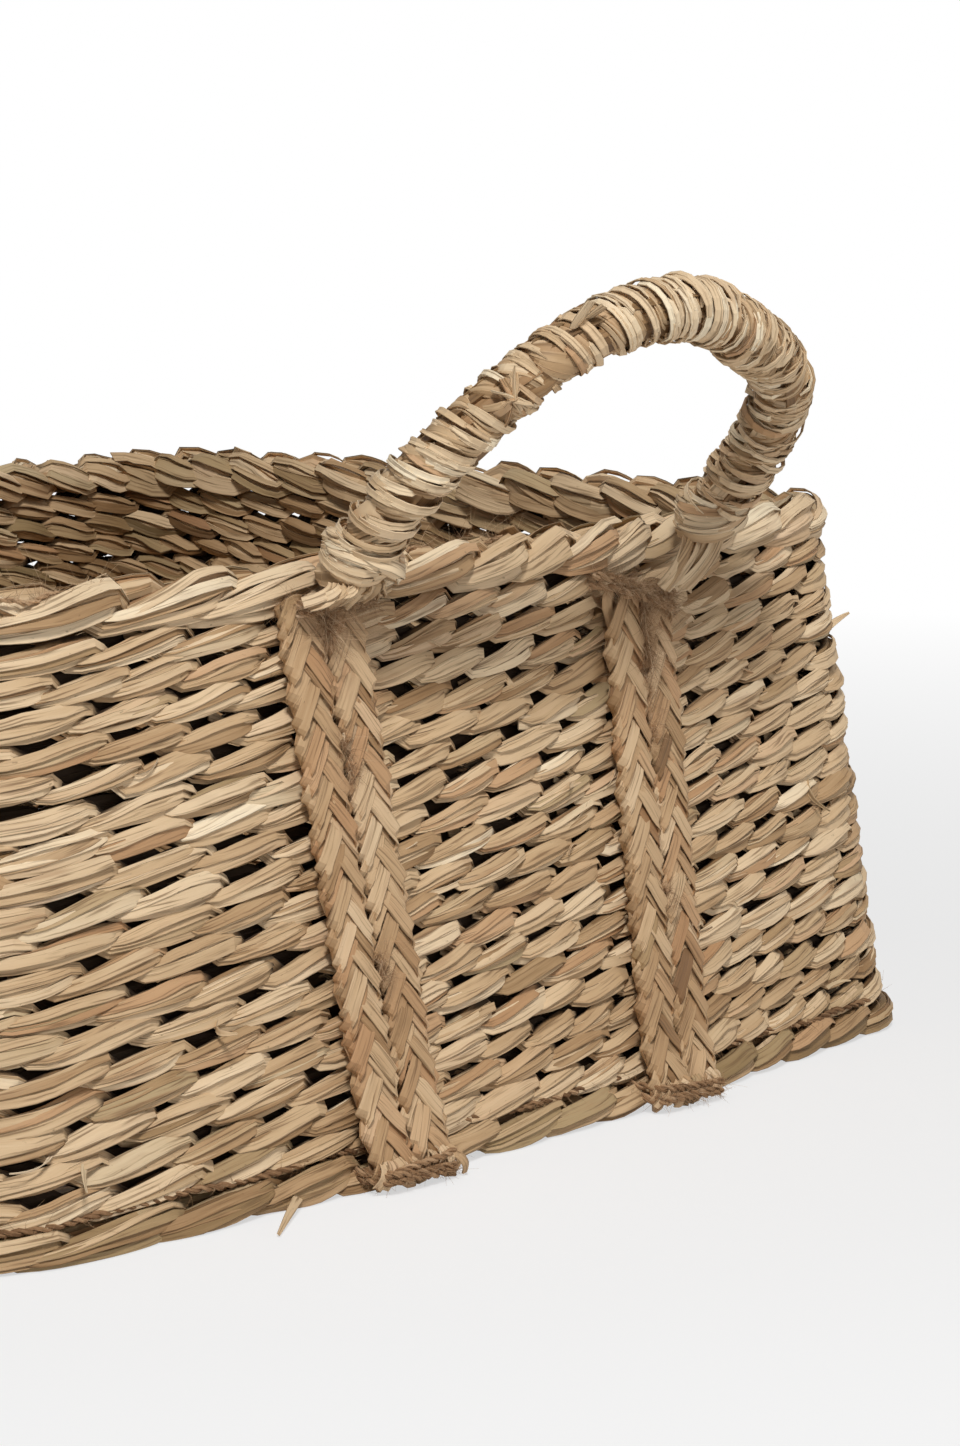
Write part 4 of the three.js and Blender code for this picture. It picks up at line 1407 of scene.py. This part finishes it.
def make_lashing(face, side_name, side, place, seed, slope, hang):
    rng = np.random.default_rng(seed)
    low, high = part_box(f"front_{side_name}_{place}_lashing")
    kind = lashings[place]
    lift, shift = kind["moved"][side_name]
    middle_z = (low.z + high.z) / 2 + lift
    parts = []
    for line in lashing_lines(rng, side, middle_z, slope, kind["backing"], shift):
        parts += twine(rng, line, lashing_twine_radius, upward_now, tone=kind["tone"])
        parts.append(fuzz(rng, line, lashing_twine_radius, *kind["hairs"], front_outward, kind["hair_tone"]))
    if hang:
        top = middle_z - 2 * MM
        middle, _, outward = strap_line(side, 0.0, top, top - hang, plait_thickness / 2, step=1 * MM)
        parts += twine(rng, middle - outward * 1.2 * MM, 1.1 * MM, rightward)
        parts.append(fuzz(rng, middle, 1.4 * MM, 260, 4 * MM, 13 * MM, front_outward - 1.1 * upward_now))
    name = f"{face}_{side_name}_{place}_lashing"
    make_piece(name + "_twine", turned(parts, face), twine_finish, "jute_twine", "basket", name)


shown_stitches = np.array([0.2, 0.27, 0.62])  # how far down a strap its stitching comes out


def make_stitching(face, side_name, side, seed):
    """The cord down the groove between two plaits, with stitches that dip in and out of sight."""
    rng = np.random.default_rng(seed)
    low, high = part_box(f"front_{side_name}_strap_twine")
    middle, across, outward = strap_line(side, 0, high.z, low.z, 0, step=1 * MM)
    along = lengths_along(middle)
    sway = np.sin(math.pi * along / (plait_period / strands_per_plait)) * 1.6 * MM
    spots = along[-1] * shown_stitches + rng.normal(0, 4, 3) * MM
    shown = np.exp(-((along[:, None] - spots) / (6 * MM)) ** 2).max(axis=1)
    line = middle + outward * (shown * 3.6 * MM - 1.2 * MM)[:, None] + across * sway[:, None]
    parts = twine(rng, line, 1.1 * MM, rightward)
    for spot in spots:
        near = np.abs(along - spot) < 8 * MM
        parts.append(fuzz(rng, line[near], 1.2 * MM, 170, 2 * MM, 7 * MM, front_outward))
    name = f"{face}_{side_name}_strap_twine"
    make_piece(name + "_stitches", turned(parts, face), twine_finish, "jute_twine", "basket", name)


slopes_and_hangs = {"left": (0.02, 9 * MM), "right": (-0.3, 22 * MM)}
for face, side_name, side, face_number in fittings:
    seed = 400 + 40 * face_number + 10 * side
    make_lashing(face, side_name, side, "top", seed, *slopes_and_hangs[side_name])
    make_lashing(face, side_name, side, "bottom", seed + 1, -0.04, 0)
    make_stitching(face, side_name, side, seed + 2)


def make_seam():
    rng = np.random.default_rng(51)
    low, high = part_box("base_seam_twine")
    turns = np.linspace(0, 1 - 1e-9, round(wall_turn_length / (1.6 * MM)))
    middle, outward, upward = wall_line(turns, (low.z + high.z) / 2, 0)
    along = lengths_along(middle)
    out = row_width / 2 - 0.8 * MM + 1.1 * MM * wander(rng, along, 30 * MM, smooth=True)
    rise = 0.6 * MM * wander(rng, along, 20 * MM, smooth=True)
    line = middle + outward * out[:, None] + upward * rise[:, None]
    parts = twine(rng, line, 1.3 * MM, upward_now, turns_per_metre=110, tone=0.2)
    parts.append(fuzz(rng, line, 1.3 * MM, 1500, 2 * MM, 7 * MM, tone=0.4))
    make_piece("base_seam_stitching", parts, twine_finish, "jute_twine", "basket", "base_seam_twine")


make_seam()
print("lashings and stitching made")

# %% [markdown]
# Under each foot of a handle the leaf ends are spread into a pleated skirt that lies over the rim and is
# tied down by the lashing. Each pleat is one flat leaf from the foot's base to the top of the strap, and
# three turns of leaf round the base hold them.

# %% Handle feet
skirts = {
    # how far the hem lies to the right of its strap, half the hem's width, and the number of pleats
    "left": (4 * MM, 17 * MM, 17),
    "right": (11 * MM, 10 * MM, 10),
}
foot_wraps = 3
wrap_points = 34


def skirt_leaf(rng, start, end, belly):
    """One flat leaf from a start to an end, pushed out at its middle."""
    face_out = facing(unit(front_outward + 0.6 * upward_now + rng.normal(0, 0.14, 3)))
    half_width = rng.uniform(1.1, 2.0) * MM * (0.75 + 0.4 * leaf_share[:, 0])
    tone = 0.64 if rng.random() < 0.6 else 0.5
    return ribbon(rng, bowed(start, end, belly), face_out, half_width, crease=0.3, tone=tone, tone_spread=0.1,
                  tint=0.45, tint_spread=0.12)


def make_foot(face, side_name, side, seed):
    rng = np.random.default_rng(seed)
    below = -0.4 * foot_reach
    base = arch(np.array([below if side < 0 else arch_length - below]))[0][0]
    lashing_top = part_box(f"front_{side_name}_top_lashing")[1].z
    aside, hem_half, pleats = skirts[side_name]
    hem_z = lashing_top + lashing_lift[side_name] - 2 * MM
    middle_x = strap_x(side, hem_z) + aside
    hem_y = front_y(middle_x, hem_z) - row_width / 2 - plait_thickness - 7.5 * MM
    parts = []
    for pleat in range(pleats):
        spread = (pleat + 0.5) / pleats * 2 - 1
        lean = spread * math.radians(80)
        start = base + np.array([9.5 * MM * math.sin(lean), -7.5 * MM * math.cos(lean), -3 * MM])
        end = np.array([middle_x + spread * hem_half, hem_y + 2 * MM * spread ** 2, hem_z - 0.5 * MM])
        end += rng.normal(0, 0.7, 3) * MM
        belly = front_outward * 2.4 * MM + rng.normal(0, 0.4, 3) * MM
        parts.append(skirt_leaf(rng, start, end, belly))
    around = np.linspace(-0.75 * math.pi, 0.75 * math.pi, wrap_points)
    base = base + lean_up * 6 * MM + np.array([2 * MM, 0, 0])
    for loop in range(foot_wraps):
        reach = (10.6 - 0.2 * loop) * MM
        tilt = (4.5 - 1.5 * loop) * MM * (-side)
        rise = (2.7 * loop - 1) * MM - tilt * np.sin(around) - 2 * MM * np.cos(around)
        line = base + np.stack([reach * np.sin(around), -reach * np.cos(around), rise], axis=1)
        direction = tangents(line)
        thin = square_to(direction, unit(line - base))
        body = {"points": line, "wide": np.cross(direction, thin), "thin": thin,
                "half_wide": np.full(wrap_points, 2.5 * MM), "half_thin": np.full(wrap_points, 1.6 * MM)}
        parts.append(strand(rng, **body, leaves=5, twist=8, tone=0.66, tone_spread=0.08, tint=0.45,
                            tint_spread=0.1))
        parts += lay_leaves(rng, body, [9, 17, 25], 8, 1, 2, 1.5 * MM, (-0.5, 0.5), tone=0.74, tint=0.45)
    name = f"{face}_{side_name}_foot_wrap"
    make_piece(name + "_skirt", turned(parts, face), wrap_finish, "seagrass_wrap", "basket", name)


for face, side_name, side, face_number in fittings:
    make_foot(face, side_name, side, 500 + 20 * face_number + 5 * side)
print("handle feet made")

# %% [markdown]
# The bottom is the same plait wound flat, from the base braid in to the middle. It is seen only from
# above, so its strands are plainer. A thin bed under them, painted dark as shade, keeps the floor from
# showing through.

# %% Bottom mat
mat_spacing = 10.2 * MM
mat_step = 7.2 * MM
mat_plait = {"reach": 3.1 * MM, "dip": 1.5 * MM, "half_wide": 3.6 * MM, "half_thin": 1.8 * MM, "period": 60 * MM}
mat_bed = 2 * MM  # height of the crossing strands under the plaits, of which only shadows are seen


def flat_bed(turns, height):
    """A thin flat disc in the wall's outline, as rings of faces round a middle."""
    x, y = wall_outline(turns[:-1], height)
    shares = np.linspace(1, 0.02, 14)
    points = np.vstack([np.column_stack([x * share, y * share, np.full(len(x), height)]) for share in shares])
    faces, _, _ = tube_faces(len(shares), len(x))
    flat = points[faces][:, :, :2]
    return {
        # painted shade: the bed's low tone and high groove value make it dark
        "points": points, "faces": faces, "tone": np.full(len(faces), 0.1), "tint": np.full(len(faces), 0.6),
        "groove": np.full(len(points), 0.8), "grain": flat, "bake": flat + 0.3,
        "length": 0.6, "perimeter": 0.6,
    }


def make_mat():
    rng = np.random.default_rng(61)
    low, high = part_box("base_mat")
    middle_z = (low.z + high.z) / 2
    turns = np.linspace(0, 1, 260)
    edge = np.stack(wall_outline(np.mod(turns, 1), middle_z), axis=1)
    radius = base_depth / 2 + base_bow
    half_length = base_length / 2 + base_bow
    inset = base_braid_width / 2 + mat_spacing * 0.5
    parts = [flat_bed(turns, mat_bed)]
    lines = []
    while inset < radius - mat_spacing * 0.4:
        scaled = edge * [1 - inset / half_length, 1 - inset / radius]
        lines.append(np.column_stack([scaled, np.full(len(turns), middle_z)]))
        inset += mat_spacing
    end = lines[-1][:, 0].max() - mat_spacing / 2
    lines.append(np.column_stack([np.linspace(-end, end, 20), np.zeros(20), np.full(20, middle_z)]))
    for line in lines:
        marks = lengths_along(line)
        count = max(int(marks[-1] / mat_step), 12)
        line = sampled(line, marks, np.linspace(0, marks[-1], count))
        parts += plait(rng, line, *level_directions(line), **mat_plait, narrowing=0.15, leaves=5, tone=0.4)
    make_piece("bottom_mat_strands", parts, mat_finish, "seagrass_mat", "basket", "base_mat")
    return len(lines)


print("mat rings", make_mat())

# %% [markdown]
# No handmade basket is clean: broken leaf ends stick out of the rows and the rim. Each is a thin flat
# leaf that starts inside a strand and bends away. Most are scattered at random over the wall, and three
# that the photograph shows are given one by one.

# %% Loose straws
# each stray leaf from its root to its tip and with half its width, in mm
stray_leaves = (
    ((-84, -189, 5), (-129, -219, 1), 1.9), ((-10, -189, 5), (-46, -212, 1), 1.7),
    ((192, -172, 140), (204, -175, 146), 1.4),
)
straw_count = 90


def straw(rng, root, direction, length, half_width):
    line = root + length * (direction * stub_share + rng.normal(0, 0.3, 3) * stub_share ** 2)
    face_out = np.tile(rng.normal(0, 1, 3), (len(line), 1))
    return ribbon(rng, line, face_out, half_width * (1 - 0.7 * stub_share[:, 0] ** 2), 0.2 * MM, tone=0.7)


def make_straws():
    rng = np.random.default_rng(71)
    parts = []
    for _ in range(straw_count):
        turns = rng.random(2)[0] + np.array([0, 1e-4])
        row = rng.integers(0, row_count)
        middle, outward, upward = (
            rows[0] for rows in wall_line(np.clip(turns, 0, 0.9999), first_row_z + row_pitch * row, 0))
        tangent = np.array([-outward[1], outward[0], 0.0])
        direction = unit(outward * rng.uniform(0.15, 0.5) + tangent * rng.choice([-1, 1]) * rng.uniform(0.5, 1)
                         + upward * rng.normal(0, 0.45))
        root = middle + outward * (row_width / 2 - 1 * MM) + upward * rng.normal(0, 3) * MM
        parts.append(straw(rng, root, direction, rng.uniform(7, 16) * MM, rng.uniform(0.5, 1.4) * MM))
    for root, tip, half_width in stray_leaves:
        line = bowed(np.array(root) * MM, np.array(tip) * MM, upward_now * 0.5 * MM)
        half_widths = half_width * MM * (1 - 0.7 * leaf_share[:, 0] ** 2)
        parts.append(ribbon(rng, line, facing(front_outward + 0.8 * upward_now), half_widths, 0.3 * MM,
                            tone=0.62, tint=0.4))
    make_piece("loose_straws", parts, row_finish, "seagrass_row", "basket")


make_straws()
print("straws made")

# %% [markdown]
# The rim braid is sewn on with the same jute. A little of it lies loose on top of the rim, between the
# feet of the handle and near the left corner.

# %% Loose jute on the rim
rim_jute_runs = ((-24, 32, 110), (-196, -150, 90))  # from one x to another in mm, and the number of hairs
rim_jute_points = 24


def make_rim_jute():
    rng = np.random.default_rng(72)
    low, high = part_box("rim_braid")
    parts = []
    for start, end, number in rim_jute_runs:
        x = np.linspace(start, end, rim_jute_points) * MM
        y = low.y + 0.78 * row_width + 0.8 * MM * np.sin(x / (4 * MM))
        line = np.column_stack([x, y, high.z - 2 * MM + 0.8 * MM * np.cos(x / (3 * MM))])
        parts += twine(rng, line, 0.9 * MM, front_outward, tone=0.55)
        parts.append(fuzz(rng, line, 1.2 * MM, number, 3 * MM, 9 * MM, upward_now))
    make_piece("rim_loose_jute", parts, twine_finish, "jute_twine", "basket")


make_rim_jute()
print("loose jute made")

# %% [markdown]
# The studio: a pale floor, a white surround that only the camera and reflections see, one large soft lamp
# at the upper left and a weaker one opposite. Their sum is about what turns a colour out as it is written.

# %% Floor, surround and lamps
camera_ray, glossy_ray, through_ray = 0, 3, 6  # outputs of a Light Path node
white = (1, 1, 1, 1)


def emptied(owner):
    """A wire in a material or a world whose own nodes have been taken out."""
    owner.use_nodes = True
    owner.node_tree.nodes.clear()
    return Wire(owner.node_tree)


def largest_ray(wire, outputs):
    """1 where a ray is of any of the kinds, and 0 where it is of none."""
    seen, *others = (wire.node("ShaderNodeLightPath", output=output) for output in outputs)
    for other in others:
        seen = wire.maths("MAXIMUM", seen, other)
    return seen


def make_floor():
    mesh = bpy.data.meshes.new("floor")
    reach = 6
    mesh.from_pydata([(-reach, -reach, 0), (reach, -reach, 0), (reach, reach, 0), (-reach, reach, 0)], [],
                     [(0, 1, 2, 3)])
    floor = bpy.data.objects.new("floor", mesh)
    bpy.context.scene.collection.objects.link(floor)
    material = bpy.data.materials.new("floor")
    wire = emptied(material)
    shown = largest_ray(wire, (camera_ray, glossy_ray))
    paint = wire.node("ShaderNodeBsdfDiffuse", sockets={"Color": (0.9, 0.9, 0.9, 1)})
    glow = wire.node("ShaderNodeEmission", sockets={"Color": white, "Strength": 1.0})
    place = wire.node("ShaderNodeTexCoord", output=object_place)
    distance = wire.node("ShaderNodeVectorMath", {"operation": "LENGTH"}, {0: place}, output=1)
    far_off = distance.between(0.35, 1.3)
    mixed = wire.node("ShaderNodeMixShader", sockets={0: shown * (0.6 + far_off * 0.4), 1: paint, 2: glow})
    wire.plug(material.node_tree.nodes.new("ShaderNodeOutputMaterial"), {"Surface": mixed})
    mesh.materials.append(material)


def make_surround():
    world = bpy.data.worlds.new("studio")
    bpy.context.scene.world = world
    wire = emptied(world)
    seen = largest_ray(wire, (camera_ray, glossy_ray, through_ray))
    soft, bright = (
        wire.node("ShaderNodeBackground", sockets={"Color": white, "Strength": strength})
        for strength in (0.12, 1.0))
    mixed = wire.node("ShaderNodeMixShader", sockets={0: seen, 1: soft, 2: bright})
    wire.plug(world.node_tree.nodes.new("ShaderNodeOutputWorld"), {"Surface": mixed})


def make_lamp(name, place, target, size, power):
    data = bpy.data.lights.new(name, "AREA")
    data.shape = "SQUARE"
    data.size = size
    data.energy = power
    lamp = bpy.data.objects.new(name, data)
    bpy.context.scene.collection.objects.link(lamp)
    lamp.location = place
    lamp.rotation_euler = (Vector(target) - Vector(place)).to_track_quat("-Z", "Y").to_euler()


make_floor()
make_surround()
make_lamp("key", (-1.35, -1.6, 2.25), (0, 0, 0.1), 0.55, 60)
make_lamp("fill", (1.4, -2.2, 0.9), (0, 0, 0.1), 1.6, 8)
bpy.context.scene.view_settings.view_transform = "Standard"
print("studio made")
